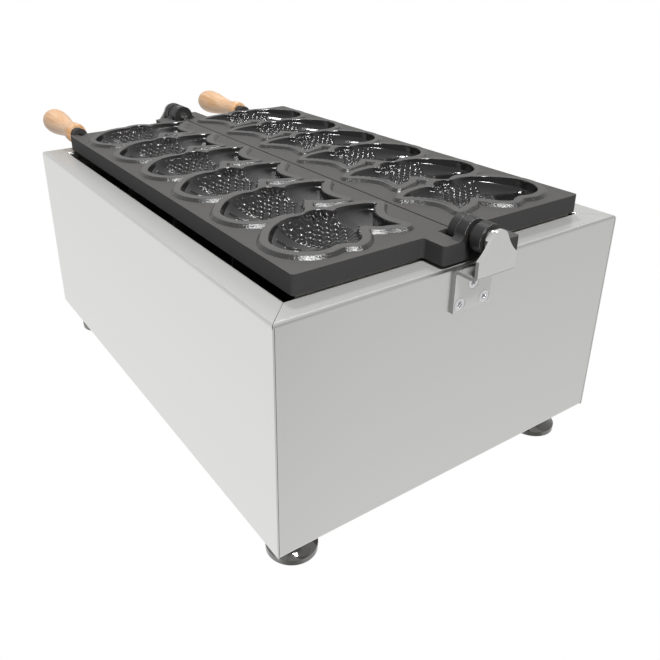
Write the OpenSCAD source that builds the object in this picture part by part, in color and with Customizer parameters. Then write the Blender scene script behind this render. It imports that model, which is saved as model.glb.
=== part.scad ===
// Countertop fish-cake cooker: a folded stainless case, and two cast mould plates that lie open like a
// book on a hinge line along the middle. Sizes are in millimetres.
// Drawing frame: x across the case, y from front (handles) to rear, z up from the case's bottom edge.
// seat() then moves every piece so that the feet stand on z = 0 in the middle of the outer box.

/* [Case] */
// Width across the side panels
case_w = 371; // [368:0.5:374]
// Length from the front panel to the rear panel
case_l = 540; // [538:0.5:542]
// Height from the bottom edge to the rim
case_h = 206.7; // [200:0.1:220]
// Thickness of the folded sheet
sheet = 1.5; // [1.2:0.1:1.8]
// Width of the mitred rim round the opening
rim_w = 26; // [24:0.5:27]
// Depth of the turned-down lip inside the rim
lip_h = 14; // [10:1:18]
// Inside radius of the bends
bend_r = 1.5; // [1:0.1:2]
// Width of the seams between panels
seam = 0.4; // [0.2:0.1:0.8]

/* [Mould plates] */
// Width of one plate, from the split line outwards
plate_w = 155; // [153:0.5:156]
// Length of a plate
plate_l = 495; // [494:0.5:496]
// Thickness of a plate at its edge
plate_t = 16.5; // [16:0.1:18]
// Gap between the rim and the underside of the plates
plate_lift = 3.3; // [2.5:0.1:4]
// Height of the hinge line over the plate's face
axis_rise = 3.5; // [3:0.1:4]
// Gap on the split line, on each side
split_gap = 0.8; // [0.4:0.1:1]
// Thickness of the casting between the moulds
web_t = 7; // [6:0.5:9]
// Width of the skirt round the underside
skirt_w = 9; // [7:0.5:10]
// Radius of the plates' upright corners
corner_r = 3; // [2:0.5:4]

/* [Fish moulds] */
// Moulds in each plate
fish_count = 6; // [6]
// Distance from one mould to the next
fish_pitch = 78; // [77.5:0.1:78.3]
// Shift of the row of moulds towards the handles
fish_shift = 7.5; // [6:0.1:7.6]
// Height of the raised rim round each mould
mould_rim_h = 3.35; // [2.8:0.05:3.35]
// Width of that rim
mould_rim_w = 5.5; // [5:0.1:5.8]
// Depth of the belly below the rim's top
belly_depth = 14.5; // [12:0.5:15]
// Depth of the tail below the rim's top
tail_depth = 9; // [8:0.5:10]

/* [Hinges] */
// Radius of the hinge pins
pin_r = 5; // [4.5:0.1:5.5]
// Running clearance round the pins
pin_clear = 0.06; // [0.04:0.01:0.09]
// Radius of the knuckles
knuckle_r = 12.6; // [12.2:0.1:13]
// Width of the hinge brackets
bracket_w = 41; // [40:0.5:44]
// Thickness of the bracket strip
bracket_t = 3; // [2.5:0.1:3]
// Inside radius of the bracket's bends
bracket_bend = 2; // [1.5:0.5:3]

/* [Handles] */
// Distance of the left grip from the hinge line
grip_x_left = 142; // [138:0.5:143]
// Distance of the right grip from the hinge line
grip_x_right = 90; // [85:0.5:95]
// Length of a wooden grip
grip_l = 113.5; // [105:0.5:120]
// Radius of the grip's bulb
grip_bulb_r = 15.8; // [15:0.1:16.5]
// Radius of the grip's waist
grip_waist_r = 10.5; // [10:0.1:11.5]
// Radius of the flare at the plate end
grip_flare_r = 12.5; // [12:0.1:13.5]

/* [Feet] */
// Height of the feet below the case
foot_h = 30.3; // [25:0.1:35]
// Radius of a foot's rim
foot_r = 22.5; // [20:0.5:25]
// Distance of the feet from the side panels
foot_inset_x = 34; // [32:0.5:40]
// Distance of the feet from the end panels
foot_inset_y = 32.7; // [30:0.1:40]

/* [Heating] */
// Radius of the heating tube
heater_r = 4; // [3.5:0.1:4.5]
// Distance between the tube's runs
heater_pitch = 30; // [28:0.5:32]
// Length of the straight runs, from the middle
heater_reach = 195; // [180:1:200]

/* [Controls] */
// Distance of each knob from the middle of the front
knob_x = 95; // [80:1:110]
// Height of the knobs over the case's bottom edge
knob_z = 92; // [80:1:110]
// Radius of a knob's skirt
knob_r = 24; // [22:0.5:26]
// Height of the lamps over the case's bottom edge
lamp_z = 148; // [140:1:160]
// Distance between the two lamps of a pair
lamp_gap = 34; // [26:1:40]

/* [Hidden] */
$fn = 96;
eps = 0.01;
bend_out = bend_r + sheet;
half_w = case_w / 2;
half_l = case_l / 2;
plate_bottom = case_h + plate_lift;
plate_top = plate_bottom + plate_t;
axis_z = plate_top + axis_rise;
plate_end = plate_l / 2;

// Hinge line at one end: two knuckles of the right plate hold one of the left plate between them
inner_knuckle = [252.4, 260];
middle_knuckle = [260.5, 270.4];
outer_knuckle = [275.6, 285.6];
end_play = 0.4;
spacer_span = [middle_knuckle[1] + end_play, outer_knuckle[0] - end_play];
spacer_r = 9.5;
pin_start = 250.5;
slot_start = 243;
slot_w = knuckle_r + 1.3;
ear_w = 33;
knuckle_blend = 6;
knuckle_web = 9;
tongue_in = 291;
tongue_out = tongue_in + bracket_t;
tongue_r = 9.5;
tongue_z = axis_z + 1;
tongue_half_w = bracket_w / 2;
shoulder_z = axis_z - 11;
flank_r = 40;
leg_bottom = 167;
bracket_shelf = case_h - 1.7;
leg_out = half_l + bracket_t;
screw_x = 13.7;
screw_low = 173.7;
screw_high = 190;
screw_r = 3;
screw_head_r = 5.85;
nut_h = 5;

// Handles
handle_z = plate_top - 2.3;
boss_l = 14;
boss_r = 9;
rod_r = 4;
grip_front = plate_end + boss_l;
grip_tip = grip_front + grip_l;

// Cable gland on the right side panel
gland_y = 205;
gland_z = 34;
gland_bore_r = 4.75;
gland_out = 14;
gland_in = 13;

// Inside the case
pan_wall = 1.2;
pan_floor = 160;
pan_top = case_h - 4;
pan_half_w = half_w - rim_w + sheet + pan_wall;
pan_half_l = half_l - rim_w + sheet + pan_wall;
sensor_z = pan_floor + pan_wall + 11;
heater_z = 188;
heater_x0 = 32;
base_top = 2 * sheet;
foot_x = half_w - foot_inset_x;
foot_y = half_l - foot_inset_y;
stud_r = 4;
shaft_r = 3;

// Middle of the outer box, seen from above
shift_x = gland_out / 2;
shift_y = (grip_tip - tongue_out) / 2;

// Moves a piece from the drawing frame to the frame of the part
module seat() {
    translate([shift_x, shift_y, foot_h]) children();
}

// Turns a shape drawn along +z so that it runs towards +y
module along_y() {
    rotate([-90, 0, 0]) children();
}

// Draws a piece at the rear end, or mirrored at the front end
module at_end(rear) {
    mirror([0, rear ? 0 : 1, 0]) children();
}

// Sheet bend in section, curving from the web into a flange
module bend_section() {
    intersection() {
        difference() {
            circle(bend_out);
            circle(bend_r);
        }
        translate([-bend_out, 0]) square(bend_out);
    }
}

// Section of a panel: x runs inwards from its outer face and y upwards
module panel_section() {
    bottom_flange = 18;
    translate([0, bend_out]) square([sheet, case_h - 2 * bend_out]);
    translate([bend_out, case_h - bend_out]) bend_section();
    translate([bend_out, case_h - sheet]) square([rim_w - 2 * bend_out, sheet]);
    translate([rim_w - bend_out, case_h - bend_out]) mirror([1, 0]) bend_section();
    translate([rim_w - sheet, case_h - lip_h]) square([sheet, lip_h - bend_out]);
    translate([bend_out, bend_out]) mirror([0, 1]) bend_section();
    translate([bend_out, 0]) square([bottom_flange - bend_out, sheet]);
}

// A folded panel with mitred flanges. Its outer face is y = 0 and it runs along x.
// web_inset shortens the web so that an end panel fits between the side panels.
module folded_panel(run, web_inset) {
    reach = rim_w + 4;
    cut = seam * 0.7;
    bend_line = case_h - bend_out;
    difference() {
        translate([-run / 2, 0, 0]) rotate([90, 0, 90]) linear_extrude(run) panel_section();
        for (side = [0, 1]) mirror([side, 0, 0]) {
            translate([0, 0, bend_line]) linear_extrude(bend_out + 1)
                polygon([[run / 2 - cut + 1, -1], [run / 2 - cut - reach, reach],
                    [run / 2 + 1, reach], [run / 2 + 1.5, -1]]);
            translate([0, 0, -1]) linear_extrude(bend_line + 1)
                polygon([[run / 2 - cut - sheet, sheet], [run / 2 - cut - reach, reach],
                    [run / 2 + 1, reach], [run / 2 + 1, sheet]]);
            if (web_inset > 0)
                translate([run / 2 - web_inset, -1, -1]) cube([web_inset + 1, reach, bend_line + 1]);
        }
    }
}

// Places a panel against one side of the case
module side_place(left) {
    translate([left ? half_w : -half_w, 0, 0]) rotate([0, 0, left ? 90 : -90]) children();
}

module base_screw_places() {
    for (y = [-180, 0, 180], x = [-1, 1]) translate([x * (half_w - 11), y, 0]) children();
    for (y = [-1, 1]) translate([0, y * (half_l - 11), 0]) children();
}

module base_screw_holes() {
    base_screw_places() translate([0, 0, -1]) cylinder(h = 6, r = 1.9);
}

module side_panel_left() {
    color("gainsboro") seat() difference() {
        side_place(true) folded_panel(case_l, 0);
        base_screw_holes();
    }
}

module side_panel_right() {
    color("gainsboro") seat() difference() {
        side_place(false) folded_panel(case_l, 0);
        base_screw_holes();
        translate([-half_w - 1, gland_y, gland_z]) rotate([0, 90, 0]) cylinder(h = 5, r = 8.3);
    }
}

module bracket_screw_places() {
    for (x = [-1, 1]) translate([x * screw_x, leg_out, screw_low]) rotate([90, 0, 0]) children();
    translate([0, leg_out, screw_high]) rotate([90, 0, 0]) children();
}

module rear_panel() {
    color("silver") seat() difference() {
        translate([0, half_l, 0]) mirror([0, 1, 0]) folded_panel(case_w, sheet + seam);
        base_screw_holes();
        bracket_screw_places() cylinder(h = 10, r = screw_r + 0.2);
    }
}

module knob_places(side) {
    translate([side * knob_x, -half_l, knob_z]) rotate([90, 0, 0]) children();
}

module lamp_places(offsets) {
    for (side = [-1, 1], dx = offsets)
        translate([side * knob_x + dx, -half_l, lamp_z]) rotate([90, 0, 0]) children();
}

module front_panel() {
    color("silver") seat() difference() {
        translate([0, -half_l, 0]) folded_panel(case_w, sheet + seam);
        base_screw_holes();
        mirror([0, 1, 0]) bracket_screw_places() cylinder(h = 10, r = screw_r + 0.2);
        for (side = [-1, 1]) knob_places(side) translate([0, 0, -5]) {
            cylinder(h = 10, r = 5.5);
            for (dx = [-1, 1]) translate([dx * 14, 0, 0]) cylinder(h = 10, r = 2.2);
        }
        lamp_places([-lamp_gap / 2, lamp_gap / 2]) translate([0, 0, -5]) cylinder(h = 10, r = 5.2);
    }
}

module foot_places() {
    for (x = [-1, 1], y = [-1, 1]) translate([x * foot_x, y * foot_y, 0]) children();
}

// Bottom sheet with rows of cooling slots
module base_plate() {
    slot_l = 46;
    edge = bend_out + 0.2;
    color("darkgray") seat() difference() {
        translate([-half_w + edge, -half_l + edge, sheet])
            cube([case_w - 2 * edge, case_l - 2 * edge, sheet]);
        base_screw_holes();
        foot_places() cylinder(h = 5, r = stud_r + 0.2);
        for (row = [-3 : 3], col = [-1, 1]) translate([col * 62 - slot_l / 2, row * 45, sheet / 2]) {
            translate([0, -2.5, 0]) cube([slot_l, 5, 3]);
            for (x = [0, slot_l]) translate([x, 0, 0]) cylinder(h = 3, r = 2.5);
        }
    }
}

module base_screws() {
    color("gray") seat() base_screw_places() {
        translate([0, 0, -2]) cylinder(h = 2, r = 3.6);
        translate([0, 0, -eps]) cylinder(h = 7, r = 1.75);
    }
}

// A bell-shaped foot, turned from one piece with its stud
module foot(x, y) {
    flare_r = 24;
    neck_r = 9.5;
    brim = 2;
    color("whitesmoke") seat() translate([x, y, -foot_h]) {
        rotate_extrude() difference() {
            translate([0, brim]) square([foot_r, foot_h + sheet - brim]);
            translate([neck_r + flare_r, foot_h - 4]) circle(flare_r);
            translate([neck_r, foot_h - 4]) square([foot_r, 10]);
            translate([neck_r + 7, foot_h - 12]) square([foot_r, 20]);
        }
        cylinder(h = brim + eps, r = foot_r);
        cylinder(h = foot_h + 14, r = stud_r);
    }
}

module foot_front_left() {
    foot(foot_x, -foot_y);
}

module foot_front_right() {
    foot(-foot_x, -foot_y);
}

module foot_rear_left() {
    foot(foot_x, foot_y);
}

module foot_rear_right() {
    foot(-foot_x, foot_y);
}

module foot_nuts() {
    color("gray") seat() foot_places() translate([0, 0, base_top]) difference() {
        cylinder(h = 6.5, r = 7.5, $fn = 6);
        translate([0, 0, -1]) cylinder(h = 9, r = stud_r + 0.05);
    }
}

// Open pan under the heating tubes. Its walls stand behind the lips of the rim, and a low divider
// runs along the middle.
module heat_pan() {
    wall_h = pan_top - pan_floor;
    divider_h = 28;
    inner_w = 2 * (pan_half_w - pan_wall);
    inner_l = 2 * (pan_half_l - pan_wall);
    color("lightgray") seat() difference() {
        union() {
            difference() {
                translate([-pan_half_w, -pan_half_l, pan_floor])
                    cube([2 * pan_half_w, 2 * pan_half_l, wall_h]);
                translate([-inner_w / 2, -inner_l / 2, pan_floor + pan_wall])
                    cube([inner_w, inner_l, wall_h]);
            }
            translate([-pan_wall / 2, -pan_half_l + pan_wall / 2, pan_floor + pan_wall / 2])
                cube([pan_wall, 2 * pan_half_l - pan_wall, divider_h]);
        }
        for (side = [-1, 1], x = [heater_x0, heater_x0 + 3 * heater_pitch])
            translate([side * x, -heater_reach - 15, pan_floor - 1]) cylinder(h = 4, r = 6.2);
    }
}

// Folded strip that carries the ends of both plates
module plate_rest(rear) {
    top = plate_bottom - 0.3;
    inner = half_l - rim_w;
    shelf_w = 14;
    wall_bottom = pan_floor + 30;
    color("silver") seat() at_end(rear) {
        translate([-150, inner - sheet, wall_bottom]) cube([300, sheet, top - wall_bottom]);
        translate([-150, inner - shelf_w, top - sheet]) cube([300, shelf_w, sheet]);
    }
}

module plate_rest_front() {
    plate_rest(false);
}

module plate_rest_rear() {
    plate_rest(true);
}

// Bend of the heating tube through an angle, in the plane of the runs
module tube_bend(angle, radius) {
    rotate_extrude(angle = angle) translate([radius, 0]) circle(heater_r);
}

// A tube bent into four runs, with both ends turned down through the pan
module heater(side) {
    turn_r = heater_pitch / 2;
    drop_r = 15;
    color("dimgray") seat() mirror([side > 0 ? 0 : 1, 0, 0]) translate([heater_x0, 0, heater_z]) {
        for (run = [0 : 3]) translate([run * heater_pitch, -heater_reach, 0]) along_y()
            cylinder(h = 2 * heater_reach, r = heater_r);
        for (run = [0, 2]) translate([run * heater_pitch + turn_r, heater_reach, 0]) tube_bend(180, turn_r);
        translate([heater_pitch + turn_r, -heater_reach, 0]) rotate([0, 0, 180]) tube_bend(180, turn_r);
        for (run = [0, 3]) translate([run * heater_pitch, -heater_reach, -drop_r]) {
            rotate([90, 0, -90]) tube_bend(90, drop_r);
            translate([0, -drop_r, -24]) cylinder(h = 24, r = heater_r);
        }
    }
}

module heater_left() {
    heater(1);
}

module heater_right() {
    heater(-1);
}

// Notched strips that stand in the pan and carry the runs of both tubes
module heater_clips() {
    strip_w = 3 * heater_pitch + 24;
    strip_h = heater_z + 1 - pan_floor - pan_wall;
    color("silver") seat() for (side = [0, 1], y = [-120, 0, 120]) mirror([side, 0, 0])
        translate([heater_x0 - 12, y, pan_floor + pan_wall]) difference() {
            cube([strip_w, 2, strip_h]);
            for (run = [0 : 3]) translate([12 + run * heater_pitch, -1, heater_z - pan_floor - pan_wall])
                along_y() cylinder(h = 4, r = heater_r + 0.05);
            for (run = [0 : 2]) translate([19 + run * heater_pitch, -1, 6]) cube([16, 4, 10]);
        }
}

// Ceramic bushes round the tube ends where they pass the pan
module heater_insulators() {
    color("ivory") seat() for (side = [-1, 1], x = [heater_x0, heater_x0 + 3 * heater_pitch])
        translate([side * x, -heater_reach - 15, 0]) difference() {
            union() {
                translate([0, 0, pan_floor - 8]) cylinder(h = 11, r = 6.1);
                translate([0, 0, pan_floor + pan_wall]) cylinder(h = 3, r = 8.5);
            }
            translate([0, 0, pan_floor - 10]) cylinder(h = 20, r = heater_r + 0.1);
        }
}

// Liquid-filled sensing bulb of a thermostat, held on two stands on the pan's floor
module sensor(side) {
    x = side * (heater_x0 + 1.5 * heater_pitch);
    color("peru") seat() {
        translate([x, -60, sensor_z]) along_y() cylinder(h = 120, r = 3);
        for (y = [-50, 40]) translate([x - 5, y, pan_floor + pan_wall])
            cube([10, 4, sensor_z - pan_floor - pan_wall - 1]);
    }
}

module sensor_left() {
    sensor(1);
}

module sensor_right() {
    sensor(-1);
}

// Thermostat behind the front panel: a box with a round head against the sheet
module thermostat(side) {
    box = 40;
    depth = 26;
    head_h = 6;
    color("tan") seat() knob_places(side) translate([0, 0, -sheet]) difference() {
        union() {
            translate([0, 0, -head_h]) cylinder(h = head_h, r = 20);
            translate([-box / 2, -box / 2, -head_h - depth]) cube([box, box, depth + eps]);
        }
        translate([0, 0, -20]) cylinder(h = 25, r = shaft_r + 0.1);
        for (dx = [-1, 1]) translate([dx * 14, 0, -9]) cylinder(h = 12, r = 2.05);
    }
}

module thermostat_left() {
    thermostat(1);
}

module thermostat_right() {
    thermostat(-1);
}

module thermostat_screws() {
    color("gray") seat() for (side = [-1, 1]) knob_places(side)
        for (dx = [-1, 1]) translate([dx * 14, 0, 0]) {
            cylinder(h = 1.4, r = 3.6);
            translate([0, 0, -9]) cylinder(h = 9 + eps, r = 2);
        }
}

// Shaft that turns in the thermostat and carries the knob
module knob_shaft(side) {
    color("silver") seat() knob_places(side) translate([0, 0, -18]) cylinder(h = 33, r = shaft_r);
}

module knob_shaft_left() {
    knob_shaft(1);
}

module knob_shaft_right() {
    knob_shaft(-1);
}

// Turned knob with a thin skirt and a raised grip bar that points at the scale
module knob(side) {
    gap = 2.2;
    skirt_h = 4;
    body_r = 16;
    body_h = 17;
    color("black") seat() knob_places(side) translate([0, 0, gap]) difference() {
        union() {
            rotate_extrude() polygon([[0, 0], [knob_r, 0], [knob_r, skirt_h - 2], [knob_r - 2, skirt_h],
                [body_r + 2, skirt_h], [body_r, skirt_h + 2], [body_r - 1, body_h - 1.5],
                [body_r - 2.5, body_h], [0, body_h]]);
            translate([-3, -body_r + 1, skirt_h]) cube([6, 2 * body_r - 2, body_h + 1 - skirt_h]);
        }
        translate([0, 0, -1]) cylinder(h = 13.8, r = shaft_r + 0.02);
        translate([0, 0, -1]) cylinder(h = 2.2, r = 19);
    }
}

module knob_left() {
    knob(1);
}

module knob_right() {
    knob(-1);
}

module lamp_bezels() {
    color("silver") seat() lamp_places([-lamp_gap / 2, lamp_gap / 2]) difference() {
        union() {
            cylinder(h = 2, r = 7);
            translate([0, 0, -14]) cylinder(h = 14 + eps, r = 5.1);
        }
        translate([0, 0, -6]) cylinder(h = 10, r = 4);
    }
}

// Lamp lens: a short rod with a domed front
module lens() {
    translate([0, 0, -6]) cylinder(h = 8.5, r = 4);
    intersection() {
        translate([0, 0, -2.5]) sphere(r = 6.4);
        cylinder(h = 6, r = 4);
    }
}

module lamps_power() {
    color("limegreen") seat() lamp_places([-lamp_gap / 2]) lens();
}

module lamps_heat() {
    color("orangered") seat() lamp_places([lamp_gap / 2]) lens();
}

// Ceramic terminal block on the base, with a well and a crossing screw hole for each wire
module terminal_block() {
    ways = 3;
    pitch = 16;
    color("ivory") seat() translate([-100, 150, base_top]) difference() {
        translate([0, -14, 0]) cube([ways * pitch + 6, 28, 20]);
        for (way = [0 : ways - 1]) translate([11 + way * pitch, 0, 0]) {
            translate([0, -15, 9]) along_y() cylinder(h = 30, r = 3);
            for (y = [-8, 8]) translate([0, y, 12]) cylinder(h = 10, r = 3.4);
        }
    }
}

// Cable gland on the right side panel, with its through bore for the cord
module cable_gland() {
    color("black") seat() translate([-half_w, gland_y, gland_z]) rotate([0, -90, 0]) difference() {
        union() {
            cylinder(h = 6, r = 13, $fn = 6);
            translate([0, 0, 6 - eps]) cylinder(h = 4, r = 10.5);
            translate([0, 0, 10 - 2 * eps]) cylinder(h = gland_out - 10, r1 = 10.5, r2 = 7.5);
            translate([0, 0, -gland_in]) cylinder(h = gland_in + eps, r = 8);
        }
        translate([0, 0, -gland_in - 1]) cylinder(h = gland_in + gland_out + 2, r = gland_bore_r);
    }
}

module gland_nut() {
    color("black") seat() translate([-half_w + sheet, gland_y, gland_z]) rotate([0, 90, 0]) difference() {
        cylinder(h = 5, r = 12.5, $fn = 6);
        translate([0, 0, -1]) cylinder(h = 7, r = 8.05);
    }
}

// Where two circles meet, on the side away from the origin
function circles_meet(c1, r1, c2, r2) =
    let (gap = c2 - c1, d = norm(gap), along = (d * d + r1 * r1 - r2 * r2) / (2 * d),
        side = sqrt(r1 * r1 - along * along))
    c1 + gap / d * along + [-gap[1], gap[0]] / d * side;

// Front outline of the strip: a leg as wide as the bracket, and a tongue with a round head and
// hollow flanks over the hinge pin
module bracket_outline() {
    head = [0, tongue_z];
    shoulder = [tongue_half_w, shoulder_z];
    flank = circles_meet(head, tongue_r + flank_r, shoulder, flank_r);
    touch = head + (flank - head) * tongue_r / (tongue_r + flank_r);
    translate([-tongue_half_w, leg_bottom]) square([bracket_w, shoulder_z - leg_bottom]);
    translate(head) circle(tongue_r);
    difference() {
        polygon([[-tongue_half_w, shoulder_z - 1], [tongue_half_w, shoulder_z - 1], shoulder, touch,
            [-touch[0], touch[1]], [-tongue_half_w, shoulder_z]]);
        for (side = [0, 1]) mirror([side, 0]) translate(flank) circle(flank_r);
    }
}

// Quarter of a bent strip in section, between the directions -x and +y of its centre
module strip_bend() {
    intersection() {
        difference() {
            circle(bracket_bend + bracket_t);
            circle(bracket_bend);
        }
        translate([-bracket_bend - bracket_t, 0]) square(bracket_bend + bracket_t);
    }
}

// Side section of the strip: a screwed leg, a short shelf and an upright tongue, with round bends
module bracket_section() {
    turn = bracket_bend + bracket_t;
    top = tongue_z + tongue_r;
    translate([half_l, leg_bottom]) square([bracket_t, bracket_shelf - turn - leg_bottom]);
    translate([half_l + turn, bracket_shelf - turn]) strip_bend();
    translate([half_l + turn, bracket_shelf - bracket_t]) square([tongue_out - half_l - 2 * turn, bracket_t]);
    translate([tongue_out - turn, bracket_shelf - bracket_t + turn]) rotate(180) strip_bend();
    translate([tongue_in, bracket_shelf - bracket_t + turn])
        square([bracket_t, top + 1 - bracket_shelf + bracket_t - turn]);
}

// Strip bent from a screwed leg into a short shelf and an upright tongue
module hinge_bracket(rear) {
    color("silver") seat() at_end(rear) difference() {
        intersection() {
            translate([-bracket_w / 2 - 1, 0, 0]) rotate([90, 0, 90])
                linear_extrude(bracket_w + 2) bracket_section();
            translate([0, tongue_out + 1, 0]) rotate([90, 0, 0])
                linear_extrude(tongue_out - half_l + 2) bracket_outline();
        }
        bracket_screw_places() {
            translate([0, 0, -eps]) cylinder(h = screw_r, r1 = screw_head_r + 0.05, r2 = screw_r + 0.05);
            translate([0, 0, -1]) cylinder(h = 10, r = screw_r + 0.05);
        }
    }
}

module hinge_bracket_front() {
    hinge_bracket(false);
}

module hinge_bracket_rear() {
    hinge_bracket(true);
}

// Countersunk cross-recess screws that hold the brackets
module bracket_screws() {
    color("whitesmoke") seat() for (rear = [true, false]) at_end(rear) bracket_screw_places() difference() {
        union() {
            cylinder(h = screw_r - 0.2, r1 = screw_head_r - 0.2, r2 = screw_r);
            cylinder(h = 13, r = screw_r);
        }
        translate([0, 0, -eps]) {
            translate([-2.6, -0.6, 0]) cube([5.2, 1.2, 1.8]);
            translate([-0.6, -2.6, 0]) cube([1.2, 5.2, 1.8]);
        }
    }
}

module bracket_nuts() {
    color("gray") seat() for (rear = [true, false]) at_end(rear) bracket_screw_places()
        translate([0, 0, bracket_t + sheet]) difference() {
            cylinder(h = nut_h, r = 5.8, $fn = 6);
            translate([0, 0, -1]) cylinder(h = nut_h + 2, r = screw_r + 0.05);
        }
}

// Pin fixed to the tongue, with a shoulder beside it and a turning centre in its free end
module hinge_pin(rear) {
    shoulder_h = tongue_in - outer_knuckle[1] - end_play;
    edge = 0.6;
    color("lightsteelblue") seat() at_end(rear)
        translate([0, tongue_in, axis_z]) rotate([90, 0, 0]) difference() {
            union() {
                cylinder(h = tongue_in - pin_start, r = pin_r);
                cylinder(h = shoulder_h - edge, r = spacer_r);
                translate([0, 0, shoulder_h - edge - eps])
                    cylinder(h = edge, r1 = spacer_r, r2 = spacer_r - edge);
            }
            translate([0, 0, tongue_in - pin_start - 3]) cylinder(h = 4, r = 1.5);
        }
}

module hinge_pin_front() {
    hinge_pin(false);
}

module hinge_pin_rear() {
    hinge_pin(true);
}

// Rings on the pins between the knuckles of the two plates
module hinge_spacers() {
    color("dimgray") seat() for (rear = [true, false]) at_end(rear)
        translate([0, spacer_span[0], axis_z]) along_y() difference() {
            cylinder(h = spacer_span[1] - spacer_span[0], r = spacer_r);
            translate([0, 0, -1]) cylinder(h = 8, r = pin_r + pin_clear);
        }
}

// One fish mould. A knot is a pair of points on the outline, on the back and on the belly, in the mould's
// own frame: x from the hinge line, y from the mould's middle, with the back towards -y.
fish_knots = [
    [[141.5, 8], [141.5, 16]], [[139.5, 2], [140, 22.5]], [[135, -5], [136.5, 29.5]],
    [[128, -14], [131, 36]], [[119, -22.5], [122, 41]], [[108, -28.5], [112, 42.5]],
    [[97, -31.5], [101, 40]], [[87, -31], [92.5, 42]], [[79.5, -34.5], [85.5, 45]],
    [[71, -36], [77.5, 40.5]], [[63, -32], [71, 33]], [[58, -25], [62.5, 20.5]],
    [[53.5, -27.5], [55, 25]], [[44, -28.5], [49, 29]], [[33, -27], [42, 31]],
    [[22, -24], [35.5, 33.5]], [[13.5, -18.5], [31, 35]]
];
knot_last = len(fish_knots) - 1;
neck_knot = 11;
tail_notch = 11;
rib_gap = 0.5;
rib_last = knot_last / rib_gap;
rib_steps = 8;

// A knot's point, with one more knot before the first and after the last
function knot(i, side) = i < 0 ? 2 * fish_knots[0][side] - fish_knots[1][side]
    : i > knot_last ? 2 * fish_knots[knot_last][side] - fish_knots[knot_last - 1][side]
    : fish_knots[i][side];
// Smooth curve through the knots of one side, where at counts the knots from the nose
function edge_point(at, side) =
    let (i = min(floor(at), knot_last - 1), t = at - i,
        a = knot(i - 1, side), b = knot(i, side), c = knot(i + 1, side), d = knot(i + 2, side))
    b + ((c - a) * t + (2 * a - 5 * b + 4 * c - d) * t * t + (3 * b - a - 3 * c + d) * t * t * t) / 2;
// How far along the tail a rib lies, from 0 at its root to 1 at its end
function tail_part(at) = max(0, (at - neck_knot) / (knot_last - neck_knot));
// How full the body is at a rib, from a low snout to the belly
function body_part(at) = 1 - 0.6 * pow(max(0, 1 - at / 5), 2);
function floor_depth(at) =
    let (tail = min(1, max(0, (at - 7) / 6))) body_part(at) * (belly_depth * (1 - tail) + tail_depth * tail);
// A point across a rib: the tail's ribs bow towards the head, which gives the notched end
function across(at, w) =
    let (back = edge_point(at, 0), belly = edge_point(at, 1), bow = tail_notch * pow(tail_part(at), 2))
    back + (belly - back) * w + [bow * sin(180 * w), 0];
// Steep walls and a round floor on the body, and a flatter floor on the tail
function wall_curve(at, w) = pow(sin(180 * w), 0.55 - 0.3 * tail_part(at));
function rib_w(j) = (1 - cos(180 * j / rib_steps)) / 2;
function mould_point(at, j) =
    let (p = across(at, rib_w(j)))
    [p[0], p[1], j == 0 || j == rib_steps ? 0 : -floor_depth(at) * wall_curve(at, rib_w(j))];

// The outline runs along the back, round the tail's end and back along the belly
mould_outline = concat(
    [for (i = [0 : rib_last - 1]) edge_point(i * rib_gap, 0)],
    [for (j = [0 : rib_steps]) across(knot_last, rib_w(j))],
    [for (i = [rib_last - 1 : -1 : 0]) edge_point(i * rib_gap, 1)]);

// Solid that cuts the hollow of one mould. Its flat lid lies a little above the rim, with a point over
// each point of the floor, so that it follows the bowed ribs of the tail.
module mould_hollow() {
    above = 1;
    cols = rib_steps + 1;
    floor_grid = [for (i = [0 : rib_last], j = [0 : rib_steps]) mould_point(i * rib_gap, j)];
    lid_grid = [for (p = floor_grid) [p[0], p[1], above]];
    lid = len(floor_grid);
    tail = rib_last * cols;
    floor_faces = [for (i = [0 : rib_last - 1], j = [0 : rib_steps - 1]) each let (a = i * cols + j)
        [[a, a + 1, a + cols + 1], [a, a + cols + 1, a + cols]]];
    lid_faces = [for (f = floor_faces) [f[2] + lid, f[1] + lid, f[0] + lid]];
    side_faces = [for (i = [0 : rib_last - 1]) each let (a = i * cols, b = a + rib_steps)
        [[a, a + cols, a + cols + lid], [a, a + cols + lid, a + lid],
            [b, b + lid, b + cols + lid], [b, b + cols + lid, b + cols]]];
    end_faces = [for (j = [0 : rib_steps - 1]) each let (t = tail + j)
        [[t, t + 1, t + 1 + lid], [t, t + 1 + lid, t + lid],
            [j, j + lid, j + 1 + lid], [j, j + 1 + lid, j + 1]]];
    polyhedron(concat(floor_grid, lid_grid), concat(floor_faces, lid_faces, side_faces, end_faces),
        convexity = 6);
}

module mould_places() {
    for (k = [0 : fish_count - 1])
        translate([0, (k - (fish_count - 1) / 2) * fish_pitch - fish_shift]) children();
}

// Section through a knuckle, square to the pin: the barrel and its blend into the ear's top face
module knuckle_section(radius) {
    blend_y = knuckle_blend - axis_rise;
    blend_x = sqrt(pow(radius + knuckle_blend, 2) - pow(blend_y, 2));
    reach = radius / (radius + knuckle_blend);
    circle(radius);
    difference() {
        polygon([[0, 0], [0, -axis_rise], [blend_x, -axis_rise], [blend_x, blend_y],
            [blend_x * reach, blend_y * reach]]);
        translate([blend_x, blend_y]) circle(knuckle_blend);
    }
    translate([radius * 0.45, -axis_rise - knuckle_web]) square([slot_w - radius * 0.45 + 1, knuckle_web]);
}

// A knuckle between two places on the pin
module knuckle(span, radius) {
    translate([0, span[1], 0]) rotate([90, 0, 0]) linear_extrude(span[1] - span[0]) knuckle_section(radius);
}

// The part of a square corner that lies outside an arc round the origin
module corner_waste(size) {
    difference() {
        square(size);
        circle(corner_r);
    }
}

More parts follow.
